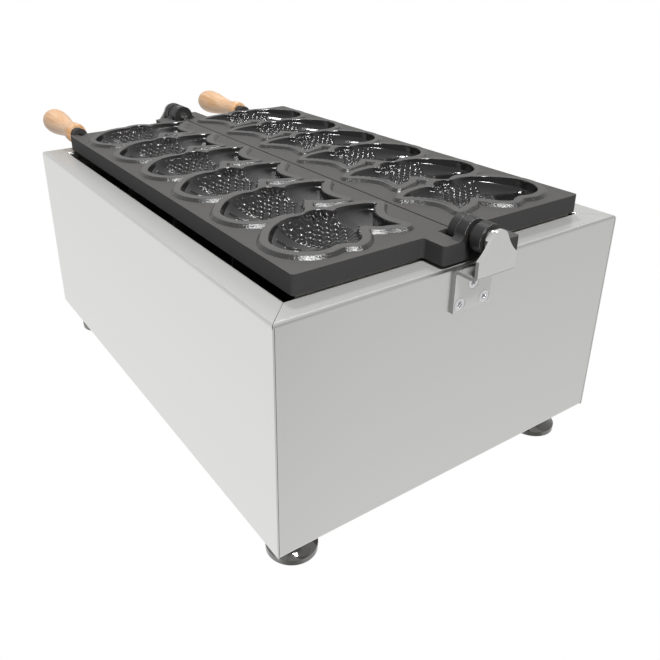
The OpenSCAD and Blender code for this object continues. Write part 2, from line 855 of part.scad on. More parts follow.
// Outline of a plate with its two ears: round corners, and a fillet where each ear leaves the end
module plate_outline(ear_end) {
    difference() {
        union() {
            translate([split_gap, -plate_end]) square([plate_w - split_gap, plate_l]);
            translate([split_gap, -ear_end]) square([ear_w - split_gap, 2 * ear_end]);
            for (end = [0, 1]) mirror([0, end]) translate([ear_w + corner_r, plate_end + corner_r])
                rotate(180) corner_waste(corner_r + eps);
        }
        for (end = [0, 1], corner = [[plate_w, plate_end], [ear_w, ear_end]]) mirror([0, end])
            translate([corner[0] - corner_r, corner[1] - corner_r]) corner_waste(corner_r + 1);
    }
}

// The plate drawn on the +x side of the hinge line, with z = 0 on that line.
// wide ears hold two knuckles at each end, and narrow ears hold one.
module mould_plate(two_knuckles, grip_x) {
    face = -axis_rise;
    under = face - plate_t;
    ear_end = two_knuckles ? outer_knuckle[1] : middle_knuckle[1];
    free_slots = two_knuckles ? [[inner_knuckle[1], outer_knuckle[0]]]
        : [[slot_start, middle_knuckle[0]]];
    own_knuckles = two_knuckles ? [inner_knuckle, outer_knuckle] : [middle_knuckle];
    handle_drop = handle_z - axis_z;
    knuckle_seat = knuckle_r * 0.45;
    difference() {
        union() {
            translate([0, 0, under]) linear_extrude(plate_t) plate_outline(ear_end);
            translate([0, 0, face - 1]) linear_extrude(mould_rim_h + 1)
                offset(r = mould_rim_w, $fn = 24) mould_places() polygon(mould_outline);
            for (rear = [true, false], span = own_knuckles) at_end(rear) knuckle(span, knuckle_r);
            translate([grip_x, -plate_end - boss_l, handle_drop]) along_y()
                cylinder(h = boss_l, r1 = boss_r - 1, r2 = boss_r);
        }
        mould_places() translate([0, 0, mould_rim_h + face]) mould_hollow();
        translate([0, 0, under - 1]) linear_extrude(plate_t - web_t + 1) difference() {
            translate([split_gap + skirt_w, -plate_end + skirt_w + 6])
                square([plate_w - split_gap - 2 * skirt_w, plate_l - 2 * skirt_w - 12]);
            offset(r = 4.5, $fn = 24) mould_places() polygon(mould_outline);
        }
        for (rear = [true, false], slot = free_slots) at_end(rear)
            translate([-slot_w, slot[0], under - 1]) cube([2 * slot_w, slot[1] - slot[0], plate_t + 20]);
        for (rear = [true, false]) at_end(rear) {
            translate([0, slot_start, 0]) along_y() cylinder(h = 60, r = pin_r + pin_clear);
            for (span = own_knuckles) translate([-1, span[0] - eps, under - 1])
                cube([1 + knuckle_seat, span[1] - span[0] + 2 * eps, plate_t - knuckle_web + 1]);
        }
        translate([grip_x, -plate_end - boss_l - 1, handle_drop]) along_y()
            cylinder(h = boss_l + 9, r = rod_r + 0.05);
    }
}

module left_plate() {
    color("dimgray") seat() translate([0, 0, axis_z]) mould_plate(false, grip_x_left);
}

module right_plate() {
    color("dimgray") seat() translate([0, 0, axis_z]) mirror([1, 0, 0]) mould_plate(true, grip_x_right);
}

// Steel rod from the plate's boss into the grip
module handle_rod(x) {
    in_grip = 70;
    in_plate = 6;
    color("darkslategray") seat() translate([x, -grip_front - in_grip, handle_z]) along_y()
        cylinder(h = in_grip + boss_l + in_plate, r = rod_r);
}

module handle_rod_left() {
    handle_rod(grip_x_left);
}

module handle_rod_right() {
    handle_rod(-grip_x_right);
}

// Radius of the grip at a distance s from its flared end: flare, waist, bulb and a round tip
grip_flare_at = 8;
grip_waist_at = 27;
grip_bulb_at = 88;
function swell(a, b, t) = a + (b - a) * (1 - cos(180 * t)) / 2;
function grip_radius(s) =
    s < grip_flare_at ? grip_flare_r - 1.2 * pow(1 - min(1, s / 2), 2)
    : s < grip_waist_at
        ? swell(grip_flare_r, grip_waist_r, (s - grip_flare_at) / (grip_waist_at - grip_flare_at))
    : s < grip_bulb_at
        ? swell(grip_waist_r, grip_bulb_r, (s - grip_waist_at) / (grip_bulb_at - grip_waist_at))
    : grip_bulb_r * sqrt(max(0, 1 - pow((s - grip_bulb_at) / (grip_l - grip_bulb_at), 2.2)));
grip_stations = concat([0, 1, 2, grip_flare_at],
    [for (k = [1 : 5]) grip_flare_at + (grip_waist_at - grip_flare_at) * k / 5],
    [for (k = [1 : 9]) grip_waist_at + (grip_bulb_at - grip_waist_at) * k / 9],
    [for (k = [1 : 9]) grip_bulb_at + (grip_l - grip_bulb_at) * sin(90 * k / 9)]);

// Turned wooden grip
module grip(x) {
    outline = concat([[0, 0]], [for (s = grip_stations) [grip_radius(s), s]]);
    color("burlywood") seat() translate([x, -grip_front, handle_z]) rotate([90, 0, 0]) difference() {
        rotate_extrude() polygon(outline);
        translate([0, 0, -1]) cylinder(h = 72, r = rod_r + 0.05);
    }
}

module grip_left() {
    grip(grip_x_left);
}

module grip_right() {
    grip(-grip_x_right);
}

side_panel_left();
side_panel_right();
front_panel();
rear_panel();
base_plate();
base_screws();
foot_front_left();
foot_front_right();
foot_rear_left();
foot_rear_right();
foot_nuts();
heat_pan();
plate_rest_front();
plate_rest_rear();
heater_left();
heater_right();
heater_clips();
heater_insulators();
sensor_left();
sensor_right();
thermostat_left();
thermostat_right();
thermostat_screws();
knob_shaft_left();
knob_shaft_right();
knob_left();
knob_right();
lamp_bezels();
lamps_power();
lamps_heat();
terminal_block();
cable_gland();
gland_nut();
hinge_bracket_front();
hinge_bracket_rear();
bracket_screws();
bracket_nuts();
hinge_pin_front();
hinge_pin_rear();
hinge_spacers();
left_plate();
right_plate();
handle_rod_left();
handle_rod_right();
grip_left();
grip_right();
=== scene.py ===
"""Looks of a countertop cooker: a folded stainless case and two hinged cast plates of fish moulds.

Shapes are drawn in millimetres in the case's own frame: x runs across the case from the hinge
line, y runs from the grips to the rear, and z is 0 at the case's bottom edge. `placed` takes such
points to the part's frame, which is in metres and stands on the feet.
"""

import logging
import math
from contextlib import contextmanager
from dataclasses import dataclass, field
from enum import Enum
from typing import Any, Iterator, Sequence

import bmesh
import bpy
import numpy as np
from mathutils import Matrix, Vector


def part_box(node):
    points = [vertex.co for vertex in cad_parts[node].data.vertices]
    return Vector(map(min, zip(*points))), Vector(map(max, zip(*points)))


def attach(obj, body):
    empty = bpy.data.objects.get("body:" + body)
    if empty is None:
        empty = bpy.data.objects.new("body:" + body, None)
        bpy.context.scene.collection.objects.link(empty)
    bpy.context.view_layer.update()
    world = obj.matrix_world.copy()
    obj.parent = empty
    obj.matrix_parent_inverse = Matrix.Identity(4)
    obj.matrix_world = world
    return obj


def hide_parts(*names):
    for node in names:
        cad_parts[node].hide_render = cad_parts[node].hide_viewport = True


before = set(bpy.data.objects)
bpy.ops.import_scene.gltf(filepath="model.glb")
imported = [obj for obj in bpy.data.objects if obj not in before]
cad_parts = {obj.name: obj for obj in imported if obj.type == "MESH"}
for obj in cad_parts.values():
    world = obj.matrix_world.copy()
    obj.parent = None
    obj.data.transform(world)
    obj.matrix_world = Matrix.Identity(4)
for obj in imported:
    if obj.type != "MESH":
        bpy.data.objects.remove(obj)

logging.basicConfig(level=logging.INFO, format="%(message)s")
log = logging.getLogger("cooker")

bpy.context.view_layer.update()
MM = 0.001  # in metres
CASE_ORIGIN = (7.0, 40.5, 30.3)  # what takes the case's frame to the part's frame, in mm
CASE_TOP = 206.7  # top of the case's folded rim
SHELF_TOP = 205.0  # top of the hinge brackets' flat shelf
PLATE_FACE = 226.5  # top face of the plates
RIM_TOP = 229.85  # top of the rims round the moulds
PLATE_END = 247.5  # half the plates' length
AXIS_Z = 230.0  # height of the hinge's axis
KNUCKLE_R = 12.6
HEM_DROP = 0.01  # how far the edge of a carved hollow lies under its rim's top
DOUBLE = 1e-6  # distance in metres within which two vertices are one
FACING = 0.9  # least upward part of the normal of a face that looks up
NEAR = 0.05  # distance in mm within which a face lies on a level


def placed(points: np.ndarray) -> np.ndarray:
    """Takes points from the case's frame in millimetres to the part's frame in metres.

    Args:
        points: An array of points, one a row.

    Returns:
        The same points in the part's frame.
    """
    return (np.asarray(points, float) + np.array(CASE_ORIGIN)) * MM


def linear(code: str) -> tuple[float, float, float, float]:
    """Turns an sRGB hex colour into the linear values that a shader socket takes.

    Args:
        code: The colour, such as "#a0b0c0".

    Returns:
        Red, green, blue and alpha, linear.
    """
    channels = [int(code[i : i + 2], 16) / 255 for i in (1, 3, 5)]
    r, g, b = [c / 12.92 if c <= 0.04045 else ((c + 0.055) / 1.055) ** 2.4 for c in channels]
    return (r, g, b, 1.0)


@dataclass(frozen=True)
class Grain:
    """A fine pattern in a surface: sizes in millimetres along x, y and z, and its strength."""

    size: tuple[float, float, float]
    height: float = 0.02
    rough_change: float = 0.0
    shade: float = 0.0


def even(size: float, *strength: float) -> Grain:
    """A grain of one size along x, y and z, with its height, change of roughness and shade."""
    return Grain((size, size, size), *strength)


@dataclass(frozen=True)
class Finish:
    """What a surface is like: its colour, how metallic and rough it is, and its fine patterns.

    The first grain changes roughness, shade and relief, and the second adds a finer relief. A
    sheet with painted light on its top has its top face at that height in the case's frame, where
    it gets a paler, less metallic colour that stands in for the light it catches from above.
    """

    name: str
    colour: str
    metallic: float
    roughness: float
    grains: tuple[Grain, ...] = ()
    sheen: float = 0.5
    coat: float = 0.0
    painted_light_top: float | None = None


def add_node(tree: bpy.types.NodeTree, kind: str, settings: dict[Any, Any] | None = None,
             links: dict[Any, Any] | None = None) -> bpy.types.Node:
    """Adds one node with its settings and links.

    Args:
        tree: The tree that gets the node.
        kind: The node's type name.
        settings: Values by socket name or number, or by property name.
        links: Output sockets by the input's name or number.

    Returns:
        The new node.
    """
    node = tree.nodes.new(kind)
    for key, value in (settings or {}).items():
        if isinstance(key, int) or key in node.inputs:
            node.inputs[key].default_value = value
        else:
            setattr(node, key, value)
    for key, source in (links or {}).items():
        tree.links.new(source, node.inputs[key])
    return node


def blank_material(name: str) -> bpy.types.Material:
    """Makes a material with an empty node tree.

    Args:
        name: The material's name.

    Returns:
        The new material.
    """
    material = bpy.data.materials.new(name)
    material.use_nodes = True
    material.node_tree.nodes.clear()
    return material


class Paintbox:
    """Makes each material once, and keeps it by name."""

    def __init__(self) -> None:
        """Starts with no material."""
        self.made: dict[str, bpy.types.Material] = {}

    def surface(self, finish: Finish) -> bpy.types.Material:
        """Makes the material of a finish, or gives the one that was made before.

        Args:
            finish: What the surface is like.

        Returns:
            The material, whose patterns read Object coordinates.
        """
        if finish.name in self.made:
            return self.made[finish.name]
        material = blank_material(finish.name)
        tree = material.node_tree
        shader = add_node(tree, "ShaderNodeBsdfPrincipled", {
            "Base Color": linear(finish.colour), "Metallic": finish.metallic,
            "Roughness": finish.roughness, "Coat Weight": finish.coat, "Coat Roughness": 0.12,
            "Specular IOR Level": finish.sheen})
        add_node(tree, "ShaderNodeOutputMaterial", links={"Surface": shader.outputs["BSDF"]})
        if finish.grains:
            self.pattern(tree, shader, finish, finish.grains[0])
        for finer in finish.grains[1:]:
            self.relief(tree, shader, self.noise(tree, finer.size, 1.0), finer.height)
        self.made[finish.name] = material
        return material

    def noise(self, tree: bpy.types.NodeTree, size: tuple[float, float, float],
              detail: float = 3.0) -> bpy.types.Node:
        """Adds noise whose features have a given size.

        Args:
            tree: The material's tree.
            size: Width of a feature along x, y and z, in millimetres.
            detail: How many finer octaves it has.

        Returns:
            The noise node.
        """
        coords = add_node(tree, "ShaderNodeTexCoord")
        mapping = add_node(tree, "ShaderNodeMapping", {"Scale": [1 / (s * MM) for s in size]},
                           {"Vector": coords.outputs["Object"]})
        return add_node(tree, "ShaderNodeTexNoise",
                        {"Scale": 1.0, "Detail": detail, "Roughness": 0.55},
                        {"Vector": mapping.outputs["Vector"]})

    def pattern(self, tree: bpy.types.NodeTree, shader: bpy.types.Node, finish: Finish,
                grain: Grain) -> None:
        """Lets one noise change the shader's roughness, shade and relief.

        Args:
            tree: The material's tree.
            shader: Its shader.
            finish: The plain surface.
            grain: The pattern's size and strength.
        """
        noise = self.noise(tree, grain.size)
        if grain.rough_change:
            low, high = finish.roughness - grain.rough_change, finish.roughness + grain.rough_change
            rough = add_node(tree, "ShaderNodeMapRange",
                             {"To Min": max(low, 0.02), "To Max": high},
                             {"Value": noise.outputs[0]})
            tree.links.new(rough.outputs["Result"], shader.inputs["Roughness"])
        if grain.shade:
            colour = linear(finish.colour)
            dark = tuple(c * (1 - grain.shade) for c in colour[:3]) + (1.0,)
            pale = tuple(min(1.0, c * (1 + grain.shade)) for c in colour[:3]) + (1.0,)
            mix = add_node(tree, "ShaderNodeMix", {"data_type": "RGBA", 6: dark, 7: pale},
                           {0: noise.outputs[0]})
            tree.links.new(mix.outputs[2], shader.inputs["Base Color"])
        if grain.height:
            self.relief(tree, shader, noise, grain.height)

    def relief(self, tree: bpy.types.NodeTree, shader: bpy.types.Node, noise: bpy.types.Node,
               height: float) -> None:
        """Raises the surface by a noise, on top of any relief that it has.

        Args:
            tree: The material's tree.
            shader: Its shader.
            noise: The noise node.
            height: The relief's height in millimetres.
        """
        bump = add_node(tree, "ShaderNodeBump", {"Strength": 1.0, "Distance": height * MM},
                        {"Height": noise.outputs[0]})
        normal = shader.inputs["Normal"]
        if normal.is_linked:
            tree.links.new(normal.links[0].from_socket, bump.inputs["Normal"])
        tree.links.new(bump.outputs["Normal"], normal)


class Stuff(Enum):
    """The finishes of the cooker. Each has a comment on what it gives the eye."""

    # cold-rolled sheet with upright brushing, drawn coarser than it is: broad soft reflections; its
    # top face is painted paler, as painted light from above
    SATIN_SHEET = Finish("satin stainless sheet", "#d4d4d2", 1.0, 0.3,
                         (Grain((0.6, 0.6, 40.0), 0.002, 0.03, 0.015),), painted_light_top=CASE_TOP)
    # folded sheet dulled by heat: cloudy and grey, with no clear reflection
    INNER_SHEET = Finish("dull inner sheet", "#8f8d89", 1.0, 0.48, (even(18.0, 0.02, 0.1, 0.12),))
    # bent strip, buffed: nearly a mirror, with slow waves in what it reflects; its shelf's top is
    # painted paler, as painted light from above
    POLISHED_STRIP = Finish("polished stainless strip", "#d0d0ce", 0.78, 0.14,
                            (even(9.0, 0.004, 0.04, 0.02),), painted_light_top=SHELF_TOP)
    # plated small parts: hard white sparks beside black
    CHROME = Finish("polished chrome", "#dcdcde", 1.0, 0.05)
    # chrome of turned feet, its colour darkened as painted shade for the dark underside it
    # reflects: dark mirrors with one sharp glint
    SHADED_FOOT_CHROME = Finish("chrome of the feet with painted shade", "#7e7d7c", 1.0, 0.08)
    # plated nuts and screws: pale and dusty, with a faint crystal speckle
    ZINC = Finish("zinc-plated steel", "#b4b3ad", 1.0, 0.36, (even(1.2, 0.01, 0.06, 0.06),))
    # turned pins: one long clean highlight along the axis
    BRIGHT_STEEL = Finish("bright turned steel", "#cfcfcd", 1.0, 0.16)
    # sprayed non-stick coat over a casting: a flat grey with a soft speckle, drawn coarser than
    # it is, so that it doesn't read as an even paint
    COAT = Finish("grey non-stick coat", "#484746", 0.0, 0.6,
                  (even(1.6, 0.05, 0.08, 0.3), even(0.6, 0.03)), sheen=0.25)
    # the same coat rubbed by use: a shade paler, so that the rims stand out
    RIM_COAT = Finish("worn coat on the rim tops", "#4d4c4b", 0.0, 0.55,
                      (even(2.4, 0.04, 0.08, 0.1), even(0.7, 0.03)), sheen=0.3)
    # the same coat on the plate's sides, painted darker as painted shade, and dull
    SHADED_SIDE_COAT = Finish("coat on the plate's sides with painted shade", "#3b3a3a", 0.0, 0.7,
                       (even(1.6, 0.05, 0.08, 0.25),), sheen=0.12)
    # oiled castings of the hinge: nearly black, with a soft highlight round each knuckle
    KNUCKLE_COAT = Finish("dark coat on the knuckles", "#2b2a2a", 0.0, 0.5,
                          (even(1.4, 0.05, 0.1, 0.3),), sheen=0.25)
    # coat rubbed through at an edge, its near-white colour partly a painted highlight: a thin
    # broken pale line
    WORN_EDGE_AND_HIGHLIGHT = Finish("worn edge with painted highlight", "#e2e1df", 0.25, 0.3,
                       (even(1.2, 0.03, 0.12, 0.3),))
    # sand-cast wall under a glossy coat: coarse, so that its highlight breaks into bright grains
    WALL_COAT = Finish("rough cast rim wall", "#232222", 0.0, 0.26,
                       (even(1.3, 0.36, 0.08, 0.2),), sheen=0.8)
    # smooth oiled coat with a trace of casting grain: black with crisp, uneven glints
    MOULD_COAT = Finish("glossy coat in the moulds", "#131212", 0.0, 0.14,
                        (even(1.8, 0.06, 0.08, 0.15),), sheen=0.65)
    # blackened steel of rods and spacers: dark, with a low broad shine
    DARK_STEEL = Finish("dark oxidised steel", "#2f2c2a", 0.6, 0.42, (even(2.0, 0.02, 0.1, 0.2),))
    # annealed sheath of the heating tubes: warm grey and blotchy
    HEATER = Finish("oxidised heater sheath", "#4a4744", 0.8, 0.5, (even(4.0, 0.02, 0.1, 0.2),))
    # glaze over fired clay: warm white with a soft shine
    CERAMIC = Finish("glazed ceramic", "#e6dfd0", 0.0, 0.3)
    # drawn tube that has dulled: a muted reddish glow
    COPPER = Finish("dull copper", "#b0714c", 1.0, 0.35)
    # pressed resin: dark brown and plain
    PHENOLIC = Finish("dark phenolic moulding", "#3b342f", 0.0, 0.5)
    # moulded with a spark-eroded texture, drawn coarser than it is: highlights without an edge
    BLACK_PLASTIC = Finish("matt black plastic", "#1b1b1c", 0.0, 0.42, (even(0.5, 0.01),))
    # clear coloured caps: deep colour under a sharp glint
    GREEN_LENS = Finish("green lamp lens", "#1d8a3c", 0.0, 0.12, coat=0.6)
    RED_LENS = Finish("red lamp lens", "#b3241a", 0.0, 0.12, coat=0.6)


class CookerPaint(Paintbox):
    """The materials of this cooker."""

    # painted light on the sheets' top faces: a paler, less metallic colour for the light from above
    painted_top_colour = "#a7a7a5"
    painted_top_metallic = 0.15
    painted_top_fade = (0.6, 0.15)  # mm off the top where the painted light starts and where it is full

    def of(self, stuff: Stuff) -> bpy.types.Material:
        """Gives the material for one of the cooker's finishes.

        Args:
            stuff: The finish.

        Returns:
            Its material, made once.
        """
        finish = stuff.value
        known = finish.name in self.made
        material = self.surface(finish)
        if finish.painted_light_top is not None and not known:
            self.paint_light_on_top(material.node_tree, finish)
        return material

    def paint_light_on_top(self, tree: bpy.types.NodeTree, finish: Finish) -> None:
        """Paints light on a sheet's top face: a paler, less metallic colour that stands in for the
        light it catches from above.

        Args:
            tree: The material's tree.
            finish: The sheet, whose grain gives it a shade.
        """
        shader = next(node for node in tree.nodes if node.type == "BSDF_PRINCIPLED")
        coords = add_node(tree, "ShaderNodeTexCoord")
        place = add_node(tree, "ShaderNodeSeparateXYZ", links={"Vector": coords.outputs["Object"]})
        top = (finish.painted_light_top + CASE_ORIGIN[2]) * MM
        height = add_node(tree, "ShaderNodeMath", {"operation": "SUBTRACT", 1: top},
                          {0: place.outputs["Z"]})
        off_top = add_node(tree, "ShaderNodeMath", {"operation": "ABSOLUTE"},
                           {0: height.outputs[0]})
        starts, full = self.painted_top_fade
        upward = add_node(tree, "ShaderNodeMapRange",
                          {"From Min": starts * MM, "From Max": full * MM},
                          {"Value": off_top.outputs[0]})
        metal = add_node(tree, "ShaderNodeMapRange",
                         {"To Min": finish.metallic, "To Max": self.painted_top_metallic},
                         {"Value": upward.outputs["Result"]})
        under = shader.inputs["Base Color"].links[0].from_socket
        colour = add_node(tree, "ShaderNodeMix", {"data_type": "RGBA", 7: linear(self.painted_top_colour)},
                          {0: upward.outputs["Result"], 6: under})
        tree.links.new(metal.outputs["Result"], shader.inputs["Metallic"])
        tree.links.new(colour.outputs[2], shader.inputs["Base Color"])

    def beech(self) -> bpy.types.Material:
        """Turned beech under a thin lacquer: long soft bands with short darker flecks.

        Returns:
            The material, made once.
        """
        name = "turned beech"
        if name in self.made:
            return self.made[name]
        material = blank_material(name)
        tree = material.node_tree
        # growth bands 5 mm wide and 60 mm long, and flecks 0.5 mm wide and 7 mm long
        bands = self.noise(tree, (5.0, 60.0, 5.0), 4.0)
        flecks = self.noise(tree, (0.5, 7.0, 0.5), 2.0)
        ramp = add_node(tree, "ShaderNodeValToRGB", links={"Fac": bands.outputs[0]})
        tones = zip(ramp.color_ramp.elements, (0.35, 0.68), ("#c59464", "#d8b592"))
        for element, position, tone in tones:
            element.position, element.color = position, linear(tone)
        fleck = add_node(tree, "ShaderNodeMapRange",
                         {"From Min": 0.58, "From Max": 0.75, "To Max": 0.4},
                         {"Value": flecks.outputs[0]})
        mix = add_node(tree, "ShaderNodeMix", {"data_type": "RGBA", 7: linear("#aa7446")},
                       {0: fleck.outputs["Result"], 6: ramp.outputs["Color"]})
        shader = add_node(tree, "ShaderNodeBsdfPrincipled", {
            "Roughness": 0.42, "Coat Weight": 0.2, "Coat Roughness": 0.25},
            {"Base Color": mix.outputs[2]})
        self.relief(tree, shader, flecks, 0.02)
        add_node(tree, "ShaderNodeOutputMaterial", links={"Surface": shader.outputs["BSDF"]})
        self.made[name] = material
        return material


def in_scene(name: str, data: bpy.types.ID) -> bpy.types.Object:
    """Makes an object and links it to the scene.

    Args:
        name: The object's name.
        data: Its mesh, light or camera.

    Returns:
        The new object.
    """
    made = bpy.data.objects.new(name, data)
    bpy.context.scene.collection.objects.link(made)
    return made


def new_piece(name: str, points: np.ndarray, faces: Sequence[Sequence[int]],
              materials: Sequence[bpy.types.Material], indices: Sequence[int] | None = None,
              smooth: bool = True) -> bpy.types.Object:
    """Makes a mesh object that sits at the origin.

    Args:
        name: The object's name.
        points: Vertices in the part's frame, in metres.
        faces: Vertex numbers of each face.
        materials: The materials, in slot order.
        indices: The material slot of each face.
        smooth: Whether the faces are shaded smooth.

    Returns:
        The new object, linked to the scene.
    """
    mesh = bpy.data.meshes.new(name)
    mesh.from_pydata([tuple(p) for p in points], [], [tuple(f) for f in faces])
    for material in materials:
        mesh.materials.append(material)
    if indices is not None:
        mesh.polygons.foreach_set("material_index", np.asarray(indices, np.int32))
    mesh.polygons.foreach_set("use_smooth", [smooth] * len(mesh.polygons))
    mesh.validate()
    piece = in_scene(name, mesh)
    log.info("%s: %d faces", name, len(mesh.polygons))
    return piece


@contextmanager
def merged(piece: bpy.types.Object) -> Iterator[bmesh.types.BMesh]:
    """Opens a piece's mesh with its doubled vertices merged, and writes it back at the end.

    Args:
        piece: The piece to edit.

    Yields:
        The open mesh.
    """
    work = bmesh.new()
    work.from_mesh(piece.data)
    bmesh.ops.remove_doubles(work, verts=work.verts, dist=DOUBLE)
    yield work
    work.to_mesh(piece.data)
    work.free()


def face_outwards(piece: bpy.types.Object) -> None:
    """Turns every face of a closed piece outwards."""
    with merged(piece) as work:
        bmesh.ops.recalc_face_normals(work, faces=work.faces)


def turns(steps: int) -> list[float]:
    """Angles of one full turn."""
    return [2 * math.pi * k / steps for k in range(steps)]


def ring_faces(rings: int, steps: int) -> list[tuple[int, ...]]:
    """Lists the faces of a tube of vertex rings.

    Args:
        rings: How many rings it has.
        steps: Vertices in each ring.

    Returns:
        Vertex numbers of each face, with a cap at both ends.
    """
    faces: list[tuple[int, ...]] = []
    for low in range(0, (rings - 1) * steps, steps):
        for k in range(steps):
            m = (k + 1) % steps
            faces.append((low + k, low + m, low + steps + m, low + steps + k))
    return faces + [tuple(range(steps))[::-1], tuple(range((rings - 1) * steps, rings * steps))]


def lathe(name: str, profile: Sequence[tuple[float, float]], start: Vector, axis: Vector,
          material: bpy.types.Material, steps: int = 64) -> bpy.types.Object:
    """Turns a profile round an axis.

    Args:
        name: The piece's name.
        profile: Pairs of distance along the axis and radius, in millimetres.
        start: The axis's first point in the case's frame.
        axis: The axis's direction.
        material: The piece's material.
        steps: Faces round the axis.

    Returns:
        The turned piece, closed at both ends.
    """
    side = axis.orthogonal().normalized()
    other = axis.cross(side)
    points = [start + axis * along + (side * math.cos(t) + other * math.sin(t)) * radius
              for along, radius in profile for t in turns(steps)]
    faces = ring_faces(len(profile), steps)
    piece = new_piece(name, placed(np.array(points)), faces, [material])
    face_outwards(piece)
    return piece


# knots of the fish from its snout to its tail's end, along its back and its belly: x is the
# distance from the hinge line, and y runs to the rear from the mould's middle
BACK = ((141.5, 8), (139.5, 2), (135, -5), (128, -14), (119, -22.5), (108, -28.5), (97, -31.5),
        (87, -31), (79.5, -34.5), (71, -36), (63, -32), (58, -25), (53.5, -27.5), (44, -28.5),
        (33, -27), (22, -24), (13.5, -18.5))
BELLY = ((141.5, 16), (140, 22.5), (136.5, 29.5), (131, 36), (122, 41), (112, 42.5), (101, 40),
         (92.5, 42), (85.5, 45), (77.5, 40.5), (71, 33), (62.5, 20.5), (55, 25), (49, 29), (42, 31),
         (35.5, 33.5), (31, 35))
FISH_COUNT = 6
FISH_PITCH = 78.0
FISH_SHIFT = 7.5  # how far the row of moulds is moved towards the grips

Point = tuple[float, float]
Stroke = tuple[Point, Point, float]
# short cuts on the snout and the cheek: where each starts and ends, and its width
LEFT_STROKES: tuple[Stroke, ...] = (((122, -11), (118, -7), 1.0), ((118, -3), (112, 4), 1.5))
RIGHT_STROKES: tuple[Stroke, ...] = (
    ((138, 14), (121, 29), 1.0), ((133, 9), (117, 25), 0.9), ((104, 30), (124, 33), 1.0))


def through(knots: Sequence[tuple[float, float]], at: np.ndarray) -> np.ndarray:
    """Runs a smooth Catmull-Rom curve through knots.

    Args:
        knots: The points that the curve passes.
        at: Places on the curve, where 0 is the first knot and 1 is the second.

    Returns:
        The curve's points, one a row.
    """
    k = np.array(knots, float)
    k = np.vstack([2 * k[0] - k[1], k, 2 * k[-1] - k[-2]])
    i = np.clip(np.floor(at).astype(int), 0, len(knots) - 2)
    t = (at - i)[:, None]
    a, b, c, d = k[i], k[i + 1], k[i + 2], k[i + 3]
    curve = 2 * b + (c - a) * t + (2 * a - 5 * b + 4 * c - d) * t**2
    return 0.5 * (curve + (3 * b - a - 3 * c + d) * t**3)


@dataclass(frozen=True)
class Carving:
    """How high each kind of relief stands in a plate's moulds, in millimetres, and its strokes."""

    scale_bumps: float = 0.0
    scale_arcs: float = 0.0
    tail_rays: float = 0.0
    side_fin: float = 0.0
    strokes: tuple[Stroke, ...] = ()


